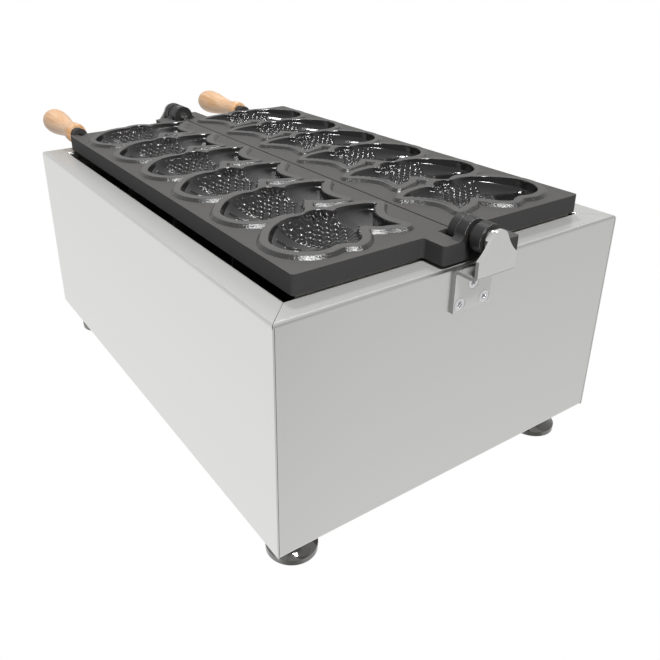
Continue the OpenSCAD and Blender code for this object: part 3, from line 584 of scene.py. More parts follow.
@dataclass
class FishMould:
    """The hollow of one mould as a fine lattice, with its rounded lip and its carved relief.

    Lengths are in millimetres. Each point of the lattice has a place `at` along the outline in
    knots, a share `w` from 0 on the back to 1 on the belly, and a share `tail` from 0 at the neck
    rib to 1 at the tail's end. A pair of numbers is the stretch over which something rises.
    """

    carving: Carving
    rows_per_knot: int = 15
    inner_columns: int = 132
    lip_steps: int = 8
    lip_knots: float = 0.2  # the dense rows at both ends
    lip_band: float = 2.0  # the dense columns at both sides, at most lip_share of the width
    lip_share: float = 0.2
    neck_rib: int = 11
    tail_notch: float = 11.0
    flat_lip: float = 0.35
    lip_radius: float = 0.8
    draft: float = 1.3
    wall_power: float = 0.7
    belly_depth: float = 14.5
    tail_depth: float = 9.0
    shallows: Point = (7, 13)  # knots
    snout_knots: float = 5.0
    snout_rise: float = 0.6
    belly_power: float = 0.55
    tail_power: float = 0.42  # taken off belly_power at the tail, whose floor is flatter
    fin_depth: float = 8.5
    fin_band: tuple[float, ...] = (60.5, 62.5, 79.0, 81.0)
    fin_share: float = 0.4
    rib_lean: float = 4.4
    rib_start: float = 63.0
    rib_pitch: float = 3.1
    gill_x: float = 99.5
    gill_slant: float = -0.5
    gill_height: float = 1.3
    gill_width: float = 0.9
    gill_beads: float = 0.3
    gill_pitch: float = 4.2
    clear_of_wall: Point = (1.2, 3.5)
    body_from_tail: Point = (56.0, 62.0)
    body_from_gill: Point = (1.0, 3.0)
    bump_pitch: Point = (8.2, 12.5)
    arc_pitch: Point = (7.5, 8.0)
    stroke_height: float = 1.4
    ray_root: Point = (0.3, 1.5)  # knots past the neck rib
    ray_count: int = 15
    side_fin: tuple[Point, Point] = ((112, -4), (88, 5))
    side_fin_width: float = 7.5
    scallop_depth: float = 2.0
    scallop_pitch: float = 4.4
    scallop_end: Point = (0.8, 0.4)  # knots before the last
    scallop_corner: Point = (0.15, 0.4)
    notch_band: tuple[float, ...] = (9.3, 9.6, 11.0, 11.3)  # knots
    notch_share: float = 0.6

    def __post_init__(self) -> None:
        """Lays out the lattice. It is denser at the outline, where the lip is rounded."""
        self.last = len(BACK) - 1
        bend = 1 - np.cos(np.pi / 2 * np.linspace(0, 1, self.lip_steps + 1))
        ends = self.lip_knots * bend
        even_rows = np.linspace(ends[-1], self.last - ends[-1], self.last * self.rows_per_knot)
        at = np.concatenate([ends, even_rows[1:-1], self.last - ends[::-1]])
        back, belly = through(BACK, at), through(BELLY, at)
        across = np.hypot(*(belly - back).T)
        share = np.minimum(self.lip_band / across, self.lip_share)[:, None]
        middle = np.linspace(0, 1, self.inner_columns + 1)[None, 1:-1]
        w = np.hstack([share * bend, share + (1 - 2 * share) * middle, 1 - share * bend[::-1]])
        tail = np.clip((at - self.neck_rib) / (self.last - self.neck_rib), 0, None)[:, None]
        xy = back[:, None] + (belly - back)[:, None] * w[..., None]
        xy[..., 0] += self.tail_notch * tail**2 * np.sin(np.pi * w)
        self.at, self.w, self.tail, self.xy = at[:, None], w, tail, xy
        self.outline = np.vstack([xy[:, 0], xy[-1, 1:-1], xy[::-1, -1]])
        closed = np.vstack([self.outline, self.outline[:1]])
        self.wall = np.stack([distance_to(closed, row) for row in xy])

    def hollow(self) -> np.ndarray:
        """Works out the plain hollow, before carving.

        Returns:
            Its depth below the rim's top at each point.
        """
        first, last = self.shallows
        share = np.clip((self.at - first) / (last - first), 0, 1)
        full = 1 - self.snout_rise * np.clip(1 - self.at / self.snout_knots, 0, None) ** 2
        depth = full * (self.belly_depth * (1 - share) + self.tail_depth * share)
        power = self.belly_power - self.tail_power * np.clip(self.tail, 0, 1)
        depth = depth * np.clip(np.sin(np.pi * self.w), 0, 1) ** power
        return np.maximum(depth, self.fin_depth * self.back_fin())

    def back_fin(self) -> np.ndarray:
        """Tells by 1 where the fin's tall wall stands on the back."""
        return band(self.xy[..., 0], self.fin_band) * (self.w < self.fin_share)

    def behind_gill(self) -> np.ndarray:
        """Measures how far each point lies behind the slanting edge of the gill cover."""
        return self.gill_x + self.gill_slant * self.xy[..., 1] - self.xy[..., 0]

    def relief(self) -> np.ndarray:
        """Works out the carving.

        Returns:
            Its height over the hollow's floor at each point.
        """
        x, y = self.xy[..., 0], self.xy[..., 1]
        cut = self.carving
        clear = smooth_step(self.wall, *self.clear_of_wall)
        behind = self.behind_gill()
        past_tail = smooth_step(x, *self.body_from_tail)
        body = past_tail * smooth_step(behind, *self.body_from_gill) * clear
        beads = 1 - self.gill_beads + self.gill_beads * np.cos(2 * np.pi * y / self.gill_pitch)
        height = self.gill_height * clear * ridge(behind, self.gill_width) * beads
        height += cut.scale_bumps * body * bumps(x, y, self.bump_pitch)
        height += cut.scale_arcs * body * arcs(x, y, self.arc_pitch)
        for start, end, width in cut.strokes:
            off = distance_to(np.array([start, end]), self.xy.reshape(-1, 2)).reshape(x.shape)
            height += self.stroke_height * clear * ridge(off, width)
        first, full = self.ray_root
        root = smooth_step(self.at, self.neck_rib + first, self.neck_rib + full)
        height += cut.tail_rays * root * wave(self.w, 1 / self.ray_count) * clear
        return height + cut.side_fin * clear * leaf(x, y, *self.side_fin, self.side_fin_width)

    def wall_width(self) -> np.ndarray:
        """Width of the sloping wall inside the lip. The back fin's ribs lean further inwards."""
        ribs = wave(self.xy[..., 0] - self.rib_start, self.rib_pitch)
        return self.draft + self.rib_lean * self.back_fin() * ribs

    def lip_width(self) -> np.ndarray:
        """Works out the flat lip, which is scalloped at the tail's end and in the belly's notch.

        Returns:
            Its width inside the outline, as seen from each point.
        """
        first, full = (self.last - knots for knots in self.scallop_end)
        end = smooth_step(self.at, first, full)
        end = end * smooth_step(np.sin(np.pi * self.w), *self.scallop_corner)
        notch = band(self.at, self.notch_band) * (self.w > self.notch_share)
        scallops = np.maximum(end, notch) * wave(self.xy[..., 1], self.scallop_pitch)
        return self.flat_lip + self.scallop_depth * scallops

    def lattice(self) -> np.ndarray:
        """Works out the carved hollow.

        Returns:
            Its points in the mould's own frame, with z = 0 on the rim's top.
        """
        radius = self.lip_radius
        past_lip = np.clip(self.wall - self.lip_width(), 0, None)
        rounded = radius - np.sqrt(radius**2 - np.minimum(past_lip, radius) ** 2)
        steep = np.clip((past_lip - radius) / self.wall_width(), 0, 1) ** self.wall_power
        floor = np.clip(self.hollow() - self.relief() - radius, 0, None)
        return np.dstack([self.xy, -HEM_DROP - rounded - floor * steep])


def distance_to(line: np.ndarray, points: np.ndarray) -> np.ndarray:
    """Distance of each point to a line through given corners.

    Args:
        line: The corners, one a row. The line isn't closed.
        points: The points, one a row.

    Returns:
        The smallest distance of each point.
    """
    start, step = line[:-1], np.diff(line, axis=0)
    long = np.maximum((step**2).sum(axis=1), 1e-12)
    off = points[:, None] - start
    along = np.clip((off * step).sum(axis=2) / long, 0, 1)
    return np.hypot(*(off - along[..., None] * step).transpose(2, 0, 1)).min(axis=1)


def outward(loop: np.ndarray) -> np.ndarray:
    """Finds the directions that point out of a closed loop.

    Args:
        loop: The loop's corners, one a row.

    Returns:
        A unit direction for each corner.
    """
    along = np.roll(loop, -1, axis=0) - np.roll(loop, 1, axis=0)
    along /= np.maximum(np.hypot(*along.T), 1e-9)[:, None]
    x, y = loop[:, 0], loop[:, 1]
    turn = np.sign(np.sum(x * np.roll(y, -1) - np.roll(x, -1) * y))
    return turn * np.column_stack([along[:, 1], -along[:, 0]])


def smooth_step(value: np.ndarray, low: float, high: float) -> np.ndarray:
    """Rises smoothly from 0 at low to 1 at high."""
    t = np.clip((value - low) / (high - low), 0, 1)
    return t * t * (3 - 2 * t)


def band(value: np.ndarray, edges: Sequence[float]) -> np.ndarray:
    """Rises from 0 to 1 between the first two edges and falls back between the last two."""
    rise, full, fall, end = edges
    return smooth_step(value, rise, full) * (1 - smooth_step(value, fall, end))


def wave(value: np.ndarray, pitch: float) -> np.ndarray:
    """Swings between 0 and 1 with a given pitch, and is 1 at 0."""
    return 0.5 + 0.5 * np.cos(2 * np.pi * value / pitch)


def ridge(distance: np.ndarray, width: float) -> np.ndarray:
    """Makes a rounded ridge of height 1 along distance 0."""
    return np.exp(-((distance / width) ** 2))


def staggered(x: np.ndarray, y: np.ndarray, pitch: Point) -> Iterator[tuple[np.ndarray, ...]]:
    """Finds each point's place in its cell, for two sets of cells that are half a pitch apart.

    Args:
        x: The points' x.
        y: Their y.
        pitch: The cells' pitch along x and y.

    Yields:
        The places along x and y, in pitches from the cell's middle.
    """
    for shift in (0.0, 0.5):
        yield tuple(v / p - (np.round(v / p - shift) + shift) for v, p in zip((x, y), pitch))


def bumps(x: np.ndarray, y: np.ndarray, pitch: Point) -> np.ndarray:
    """Makes staggered rows of drop-shaped scales, each highest at the end towards the tail.

    Args:
        x: The points' x.
        y: Their y.
        pitch: The scales' pitch along x and y.

    Returns:
        Height of the scales, about 1 at most.
    """
    half_long, half_wide = 0.42, 0.36  # in pitches
    middle, fall = 0.75, 0.9  # height at a scale's middle, and its fall towards the snout
    height = np.zeros_like(x)
    for dx, dy in staggered(x, y, pitch):
        dome = np.sqrt(np.clip(1 - (dx / half_long) ** 2 - (dy / half_wide) ** 2, 0, 1))
        height = np.maximum(height, dome * (middle - fall * dx))
    return height


def arcs(x: np.ndarray, y: np.ndarray, pitch: Point) -> np.ndarray:
    """Makes staggered C-shaped scale edges.

    Args:
        x: The points' x.
        y: Their y.
        pitch: The scales' pitch along x and y.

    Returns:
        Height of the edges, 1 at most.
    """
    radius, edge_width, open_from = pitch[1] * 0.45, 0.7, 0.6
    height = np.zeros_like(x)
    for across, along in staggered(x, y, pitch):
        dx, dy = across * pitch[0], along * pitch[1]
        edge = ridge(np.hypot(dx, dy) - radius, edge_width) * (dx < open_from)
        height = np.maximum(height, edge)
    return height


def leaf(x: np.ndarray, y: np.ndarray, root: Point, tip: Point, width: float) -> np.ndarray:
    """Makes a leaf-shaped fin with rays that run from its root to its tip.

    Args:
        x: The points' x.
        y: Their y.
        root: Where the fin starts.
        tip: Where it ends.
        width: Half its width at the middle.

    Returns:
        Height of the fin, 1 at most.
    """
    soft_edge, ray_depth, ray_pitch = (-0.8, 0.4), 0.4, 2.4
    axis = np.array(tip, float) - np.array(root, float)
    length = float(np.hypot(*axis))
    along = ((x - root[0]) * axis[0] + (y - root[1]) * axis[1]) / length**2
    off = ((x - root[0]) * -axis[1] + (y - root[1]) * axis[0]) / length
    half = width * np.sqrt(np.clip(np.sin(np.pi * np.clip(along, 0, 1)), 0, 1))
    inside = 1 - smooth_step(np.abs(off) - half, *soft_edge)
    inside = inside * (along > 0) * (along < 1)
    return inside * (1 - ray_depth + ray_depth * np.cos(2 * np.pi * off / ray_pitch))


def mould_centres() -> list[float]:
    """The y of each mould's middle, from the grips to the rear."""
    return [(k - (FISH_COUNT - 1) / 2) * FISH_PITCH - FISH_SHIFT for k in range(FISH_COUNT)]


def cad_copy(node: str, name: str) -> bpy.types.Object:
    """Copies a CAD node into a new piece without a material.

    Args:
        node: The node's name.
        name: The new piece's name.

    Returns:
        The new piece, linked to the scene.
    """
    piece = in_scene(name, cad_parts[node].data.copy())
    piece.data.materials.clear()
    log.info("%s: a copy of %s", name, node)
    return piece


def inside_outline(x: float, y: float, outline: np.ndarray) -> bool:
    """Tells whether a point lies inside a closed outline.

    Args:
        x: The point's x.
        y: Its y.
        outline: The outline's corners, one a row.

    Returns:
        True inside the outline.
    """
    px, py = outline[:, 0], outline[:, 1]
    qx, qy = np.roll(px, -1), np.roll(py, -1)
    crosses = (py > y) != (qy > y)
    cut = px + (y - py) / np.where(crosses, qy - py, 1.0) * (qx - px)
    return bool(np.count_nonzero(crosses & (x < cut)) % 2)


def join_flat_faces(work: bmesh.types.BMesh) -> None:
    """Joins neighbouring faces of one plane and one material."""
    bmesh.ops.dissolve_limit(work, angle_limit=math.radians(0.3), use_dissolve_boundaries=False,
                             verts=work.verts, edges=work.edges, delimit={"MATERIAL"})


def is_sharp(edge: bmesh.types.BMEdge, degrees: float) -> bool:
    """Tells whether two faces meet at an edge and turn away there by more than an angle."""
    return (len(edge.link_faces) == 2 and edge.is_convex
            and edge.calc_face_angle(0.0) > math.radians(degrees))


def ease(work: bmesh.types.BMesh, edges: Sequence[bmesh.types.BMEdge], width: float) -> set[int]:
    """Rounds edges.

    Args:
        work: The mesh.
        edges: The edges to round.
        width: How far each rounding reaches from its edge, in millimetres.

    Returns:
        Numbers of the new faces.
    """
    made = bmesh.ops.bevel(work, geom=list(edges), offset=width * MM, offset_type="OFFSET",
                           segments=3, profile=0.5, affect="EDGES", clamp_overlap=True)
    work.faces.index_update()
    return {face.index for face in made["faces"]}


def shade(work: bmesh.types.BMesh, rounded: set[int], smooth_up_to: float = 32.0) -> None:
    """Shades curved stretches and roundings smooth, and keeps flat faces flat.

    Args:
        work: The mesh.
        rounded: Numbers of the faces that round an edge.
        smooth_up_to: The largest turn between two faces that is shaded smooth, in degrees.
    """
    for face in work.faces:
        face.smooth = True
    for edge in work.edges:
        if len(edge.link_faces) == 2:
            one, other = (face.index in rounded for face in edge.link_faces)
            gentle = edge.calc_face_angle(0.0) < math.radians(smooth_up_to)
            edge.smooth = one == other and gentle


def case_point(vector: Vector) -> np.ndarray:
    """Takes a point from the part's frame to the case's frame, in millimetres."""
    return np.array(vector) / MM - np.array(CASE_ORIGIN)


@dataclass
class HingeBracket:
    """A bracket of bent strip whose sharp edges are rounded, so that they catch a line of light."""

    end: str
    paint: CookerPaint
    rounding: float = 0.45
    sharp: float = 50.0  # degrees

    def build(self) -> None:
        """Rounds a copy of the CAD node and puts it in the node's place."""
        node = f"hinge_bracket_{self.end}"
        piece = cad_copy(node, f"{node}_eased")
        piece.data.materials.append(self.paint.of(Stuff.POLISHED_STRIP))
        with merged(piece) as work:
            join_flat_faces(work)
            edges = [edge for edge in work.edges if is_sharp(edge, self.sharp)]
            shade(work, ease(work, edges, self.rounding))
        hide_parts(node)
        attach(piece, "case")


class Skin(Enum):
    """The faces of a casting, in the order of its material slots."""

    TOP = Stuff.COAT
    RIM = Stuff.RIM_COAT
    WALL = Stuff.WALL_COAT
    # the sides get the coat darkened as painted shade
    SIDE = Stuff.SHADED_SIDE_COAT
    KNUCKLE = Stuff.KNUCKLE_COAT
    WORN_AND_LIT = Stuff.WORN_EDGE_AND_HIGHLIGHT

    @property
    def index(self) -> int:
        """The material slot."""
        return list(Skin).index(self)


@dataclass
class MouldPlate:
    """A cast plate: its casting, the sloped walls of its rims and the carved hollows of its moulds.

    The side is 1 for the left plate and -1 for the right one. Lengths are in millimetres.
    """

    side: int
    node: str
    body: str
    carving: Carving
    paint: CookerPaint
    hem: float = 0.6  # how far a hollow reaches under its rim
    hem_depth: float = 0.3  # depth down to which a hollow has the rim's finish
    pocket_margin: float = 0.4
    pocket_depth: float = 16.0
    edge_rounding: float = 1.3
    knuckle_rounding: float = 0.8
    sharp: float = 60.0  # degrees
    pieces: list[bpy.types.Object] = field(default_factory=list)

    def build(self) -> None:
        """Builds the plate's pieces and hangs them on the plate's body."""
        mould = FishMould(self.carving)
        lattice = mould.lattice()
        casting = self.casting(mould.outline)
        for number, middle in enumerate(mould_centres(), 1):
            name = f"{self.node}_mould_{number}"
            self.pieces.append(self.hollow(name, lattice, mould.outline, middle))
        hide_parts(self.node)
        for piece in [casting, *self.pieces]:
            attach(piece, self.body)

    def hollow(self, name: str, lattice: np.ndarray, outline: np.ndarray,
               middle: float) -> bpy.types.Object:
        """Makes the carved surface of one mould, with a hidden hem under the rim's top.

        Args:
            name: The piece's name.
            lattice: Points of the carved hollow, by row and column.
            outline: The mould's outline.
            middle: The y of the mould's middle.

        Returns:
            The new piece.
        """
        rows, columns = lattice.shape[:2]
        edge_points = outline + self.hem * outward(outline)
        hem = np.column_stack([edge_points, np.full(len(outline), -HEM_DROP)])
        points = np.vstack([lattice.reshape(-1, 3), hem])
        index = np.arange(rows * columns).reshape(rows, columns)
        corners = [index[:-1, :-1], index[:-1, 1:], index[1:, 1:], index[1:, :-1]]
        quads = np.stack(corners, axis=-1).reshape(-1, 4)
        edge = np.concatenate([index[:, 0], index[-1, 1:-1], index[::-1, -1]])
        outer = np.arange(rows * columns, len(points))
        strip = np.column_stack([edge, np.roll(edge, -1), np.roll(outer, -1), outer])
        quads = np.vstack([quads, strip])
        skins = (points[quads, 2].mean(axis=1) < -self.hem_depth).astype(int)
        points[:, 0] *= self.side
        points[:, 1] += middle
        points[:, 2] += RIM_TOP
        if self.side < 0:
            quads = quads[:, ::-1]
        finishes = [self.paint.of(Stuff.RIM_COAT), self.paint.of(Stuff.MOULD_COAT)]
        return new_piece(name, placed(points), quads.tolist(), finishes, skins)

    def casting(self, outline: np.ndarray) -> bpy.types.Object:
        """Copies the CAD casting, opens its moulds, slopes the rims' walls and rounds its edges.

        Args:
            outline: The outline of a mould.

        Returns:
            The casting.
        """
        piece = cad_copy(self.node, f"{self.node}_casting")
        for skin in Skin:
            piece.data.materials.append(self.paint.of(skin.value))
        with merged(piece) as work:
            self.open_moulds(work, outline + self.pocket_margin * outward(outline))
            for face in work.faces:
                face.material_index = self.skin(face).index
            self.pieces.append(self.rim_walls(work))
            join_flat_faces(work)
            rounded = ease(work, self.outer_edges(work), self.edge_rounding)
            # the knuckles' rounded edges get a near-white colour, which is wear and a painted
            # highlight
            worn = ease(work, self.knuckle_edges(work), self.knuckle_rounding)
            for face in work.faces:
                if face.index in worn:
                    face.material_index = Skin.WORN_AND_LIT.index
            shade(work, rounded | worn)
        return piece

    def open_moulds(self, work: bmesh.types.BMesh, outline: np.ndarray) -> None:
        """Deletes the plain hollows, which the carved ones take the place of.

        Args:
            work: The casting's mesh.
            outline: The outline inside which a face belongs to a hollow.
        """
        pocket = []
        for face in work.faces:
            x, y, z = case_point(face.calc_center_median())
            near = [c for c in mould_centres() if abs(c - y) < FISH_PITCH]
            if RIM_TOP - self.pocket_depth < z < RIM_TOP - 0.02 and any(
                    inside_outline(x * self.side, y - c, outline) for c in near):
                pocket.append(face)
        bmesh.ops.delete(work, geom=pocket, context="FACES")

    def skin(self, face: bmesh.types.BMFace) -> Skin:
        """Tells which part of the casting's surface a face belongs to.

        Args:
            face: A face of the casting.

        Returns:
            The part.
        """
        x, y, z = case_point(face.calc_center_median())
        if abs(y) > PLATE_END and math.hypot(x, z - AXIS_Z) < KNUCKLE_R + 2 * NEAR:
            return Skin.KNUCKLE
        for level, skin in ((RIM_TOP, Skin.RIM), (PLATE_FACE, Skin.TOP)):
            if face.normal.z > FACING and abs(z - level) < NEAR:
                return skin
        upright = abs(face.normal.z) < 0.3
        if upright and PLATE_FACE + NEAR < z < RIM_TOP and abs(y) < PLATE_END - 0.5:
            return Skin.WALL
        return Skin.SIDE

    def rim_walls(self, work: bmesh.types.BMesh) -> bpy.types.Object:
        """Takes the rims' upright walls off the casting and makes sloped ones with a rounded top.

        Args:
            work: The casting's mesh, whose faces have their material slots.

        Returns:
            The sloped walls as one piece.
        """
        follows = {}
        for face in work.faces:
            if face.material_index == Skin.RIM.index:
                for loop in face.loops:
                    beside = {other.material_index for other in loop.edge.link_faces}
                    if Skin.WALL.index in beside:
                        follows[loop.vert] = loop.link_loop_next.vert
        points, faces, skins = [], [], []
        slope = rim_slope()
        while follows:
            chain = [next(iter(follows))]
            while chain[-1] in follows:
                chain.append(follows.pop(chain[-1]))
            chain.pop()
            corners = np.array([case_point(v.co)[:2] for v in chain])
            away = loop_normals(corners)
            count, first = len(chain), len(points)
            for off, z in slope:
                points += [(x, y, z) for x, y in corners + off * away]
            for ring in range(len(slope) - 1):
                for k in range(count):
                    a, b = first + ring * count + k, first + ring * count + (k + 1) % count
                    faces.append((a, a + count, b + count, b))
                    skins.append(int(ring == len(slope) - 2))
            for vert, (x, y) in zip(chain, corners + slope[0][0] * away):
                vert.co = placed(np.array((x, y, RIM_TOP)))
        walls = [face for face in work.faces if face.material_index == Skin.WALL.index]
        bmesh.ops.delete(work, geom=walls, context="FACES")
        finishes = [self.paint.of(Stuff.RIM_COAT), self.paint.of(Stuff.WALL_COAT)]
        return new_piece(f"{self.node}_rim_walls", placed(np.array(points)), faces, finishes, skins)

    def outer_edges(self, work: bmesh.types.BMesh) -> list[bmesh.types.BMEdge]:
        """Finds the edges between the plate's top face and its sides.

        Args:
            work: The casting's mesh.

        Returns:
            The edges.
        """
        both = {Skin.TOP.index, Skin.SIDE.index}
        return [edge for edge in work.edges if is_sharp(edge, self.sharp)
                and {face.material_index for face in edge.link_faces} == both
                and max(face.normal.z for face in edge.link_faces) > FACING]

    def knuckle_edges(self, work: bmesh.types.BMesh) -> list[bmesh.types.BMEdge]:
        """Finds the round edges of the hinge's knuckles.

        Args:
            work: The casting's mesh.

        Returns:
            The edges.
        """
        found = []
        for edge in work.edges:
            if not is_sharp(edge, self.sharp):
                continue
            a, b = (case_point(vert.co) for vert in edge.verts)
            off_axis = (math.hypot(p[0], p[2] - AXIS_Z) - KNUCKLE_R for p in (a, b))
            if all(abs(off) < 2 * NEAR for off in off_axis) and abs(a[1] - b[1]) < NEAR:
                found.append(edge)
        return found


def rim_slope() -> list[Point]:
    """Draws the section of a rim's outer wall.

    Returns:
        Distances out from the CAD wall and heights, from the top down.
    """
    radius, start, steepest = 1.2, -0.45, math.radians(50)
    foot, sunk = 2.9, 0.15  # the foot's distance, and its depth in the plate
    arc = [(start + radius * math.sin(a), RIM_TOP - radius * (1 - math.cos(a)))
           for a in np.linspace(0, steepest, 4)]
    return arc + [(foot, PLATE_FACE - sunk)]


def loop_normals(corners: np.ndarray) -> np.ndarray:
    """Finds the directions to the right of a closed chain, a little longer at sharp corners.

    Args:
        corners: The chain's corners, one a row.

    Returns:
        A direction for each corner.
    """
    least, longest = 0.8, 1.3
    step = np.roll(corners, -1, axis=0) - corners
    right = np.column_stack([step[:, 1], -step[:, 0]])
    right = right / np.maximum(np.hypot(*step.T), 1e-9)[:, None]
    both = right + np.roll(right, 1, axis=0)
    size = np.maximum(np.hypot(*both.T), least)[:, None]
    return both / size * np.minimum(2 / size, longest)


def swell(start: Point, end: Point, steps: int) -> list[Point]:
    """Runs smoothly from one radius to the next.

    Args:
        start: Distance along the axis and radius where it starts.
        end: The same where it ends.
        steps: How many points it takes.

    Returns:
        Distances and radii, without the start.
    """
    points = []
    for t in np.linspace(1 / steps, 1, steps):
        radius = start[1] + (end[1] - start[1]) * (1 - math.cos(math.pi * t)) / 2
        points.append((start[0] + (end[0] - start[0]) * t, radius))
    return points


@dataclass
class Grip:
    """A turned wooden grip: a collar round its rod, a flare, a waist and a bulb.

    Each size is a distance from the collar's end and a radius there, in millimetres.
    """

    x: float
    hand: str
    body: str
    paint: CookerPaint
    collar: tuple[Point, ...] = ((0.0, 4.3), (0.0, 10.8), (0.6, 11.7), (1.8, 12.3), (4.0, 12.5))
    flare: Point = (8.0, 12.5)
    waist: Point = (27.0, 10.5)
    bulb: Point = (88.0, 15.8)
    end_power: float = 2.2
    least_share: float = 0.02  # the bulb's last ring keeps this share of its section

    def profile(self, length: float) -> list[Point]:
        """Draws the grip's outline.

        Args:
            length: The grip's length.

        Returns:
            Distances from the collar's end and radii.
        """
        points = [*self.collar, self.flare, *swell(self.flare, self.waist, 10),
                  *swell(self.waist, self.bulb, 20)]
        at, radius = self.bulb
        for t in np.linspace(0.06, 1, 16):
            along = math.sin(math.pi / 2 * t)
            share = max(self.least_share, 1 - along**self.end_power)
            points.append((at + (length - at) * along, radius * share**0.5))
        return points

    def build(self) -> None:
        """Turns the grip and hangs it on its plate's body."""
        low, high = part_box(f"grip_{self.hand}")
        profile = self.profile((high.y - low.y) / MM)
        start = Vector((self.x, high.y / MM - CASE_ORIGIN[1],
                        (low.z + high.z) / 2 / MM - CASE_ORIGIN[2]))
        axis = Vector((0, -1, 0))
        grip = lathe(f"wooden_grip_{self.hand}", profile, start, axis, self.paint.beech())
        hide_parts(f"grip_{self.hand}")
        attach(grip, self.body)


@dataclass(frozen=True)
class Place:
    """Where a copy stands, in the case's frame in millimetres, and how it is turned."""

    point: tuple[float, float, float]
    turn: tuple[float, float, float] = (0.0, 0.0, 0.0)


class Repeater:
    """Sets copies of one piece on given places with Geometry Nodes."""

    def __init__(self) -> None:
        """Builds the tree, with inputs for the piece to copy and its finish."""
        tree = bpy.data.node_groups.new("copies on places", "GeometryNodeTree")

        def socket(name: str, kind: str, in_out: str = "INPUT") -> str:
            """Adds a socket and gives its identifier."""
            kind = f"NodeSocket{kind}"
            return tree.interface.new_socket(name, in_out=in_out, socket_type=kind).identifier

        socket("Geometry", "Geometry")
        self.piece_input = socket("Piece", "Object")
        self.finish_input = socket("Finish", "Material")
        socket("Geometry", "Geometry", "OUTPUT")
        given = add_node(tree, "NodeGroupInput")
        info = add_node(tree, "GeometryNodeObjectInfo", links={"Object": given.outputs["Piece"]})
        turn = add_node(tree, "GeometryNodeInputNamedAttribute",
                        {"data_type": "FLOAT_VECTOR", "Name": "turn"})
        rotation = add_node(tree, "FunctionNodeEulerToRotation",
                            links={0: turn.outputs["Attribute"]})
        points = add_node(tree, "GeometryNodeMeshToPoints",
                          links={"Mesh": given.outputs["Geometry"]})
        copies = add_node(tree, "GeometryNodeInstanceOnPoints", links={
            "Points": points.outputs[0], "Instance": info.outputs["Geometry"],
            "Rotation": rotation.outputs[0]})
        real = add_node(tree, "GeometryNodeRealizeInstances", links={0: copies.outputs[0]})
        finish = add_node(tree, "GeometryNodeSetMaterial", links={
            "Geometry": real.outputs[0], "Material": given.outputs["Finish"]})
        add_node(tree, "NodeGroupOutput", links={0: finish.outputs[0]})
        self.tree = tree

    def copies(self, name: str, pattern: bpy.types.Object, places: Sequence[Place],
               material: bpy.types.Material) -> bpy.types.Object:
        """Makes one plain piece from copies of a pattern.

        Args:
            name: The new piece's name.
            pattern: The piece to copy, drawn round the origin. It is removed.
            places: Where each copy goes.
            material: The material of all copies.

        Returns:
            A plain mesh object with no modifier.
        """
        mesh = bpy.data.meshes.new(name)
        mesh.from_pydata([tuple(p) for p in placed([p.point for p in places])], [], [])
        turns = mesh.attributes.new("turn", "FLOAT_VECTOR", "POINT")
        turns.data.foreach_set("vector", np.array([p.turn for p in places], np.float32).ravel())
        piece = in_scene(name, mesh)
        modifier = piece.modifiers.new("copies", "NODES")
        modifier.node_group = self.tree
        modifier[self.piece_input] = pattern
        modifier[self.finish_input] = material
        evaluated = piece.evaluated_get(bpy.context.evaluated_depsgraph_get())
        plain = bpy.data.meshes.new_from_object(evaluated)
        piece.modifiers.clear()
        piece.data = plain
        bpy.data.objects.remove(pattern)
        log.info("%s: %d copies, %d faces", name, len(places), len(plain.polygons))
        return piece


@dataclass
class BracketScrews:
    """Countersunk cross-recess screws of the hinge brackets. Lengths are in millimetres."""

    paint: CookerPaint
    repeater: Repeater
    steps: int = 48
    rings: tuple[Point, ...] = ((2.95, -12.8), (2.95, -2.9), (5.55, -0.25), (5.6, -0.1),
                                (5.3, 0.0), (3.3, 0.02))  # radius and z of shank and head
    recess: tuple[Point, ...] = ((1.0, 0.0), (0.85, -0.8), (0.45, -2.6))  # share of its width, z
    core_r: float = 1.35
    arm_length: float = 1.85
    spots: tuple[Point, ...] = ((-13.7, 173.7), (13.7, 173.7), (0.0, 190.0))  # x and z
    head_y: float = 272.9
    first_turn: float = 0.5
    turn_step: float = 0.9

    def pattern(self) -> bpy.types.Object:
        """Draws one screw along -z from its head at the origin, with a tapered cross recess.

        Returns:
            The screw.
        """
        angles = turns(self.steps)
        points = [(r * math.cos(t), r * math.sin(t), z) for r, z in self.rings for t in angles]
        for share, z in self.recess:
            for t in angles:
                arm = self.core_r + self.arm_length * abs(math.cos(2 * t)) ** 4
                points.append((arm * share * math.cos(t), arm * share * math.sin(t), z))
        faces = ring_faces(len(points) // self.steps, self.steps)
        chrome = self.paint.of(Stuff.CHROME)
        screw = new_piece("bracket_screw", np.array(points) * MM, faces, [chrome])
        face_outwards(screw)
        return screw

    def build(self) -> None:
        """Sets three screws on each of the two brackets."""
        places = []
        for end in (1, -1):
            for number, (x, z) in enumerate(self.spots):
                turn = (-end * math.pi / 2, self.first_turn + self.turn_step * number, 0.0)
                places.append(Place((x, end * self.head_y, z), turn))
        chrome = self.paint.of(Stuff.CHROME)
        screws = self.repeater.copies("cross_screws", self.pattern(), places, chrome)
        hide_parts("bracket_screws")
        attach(screws, "case")


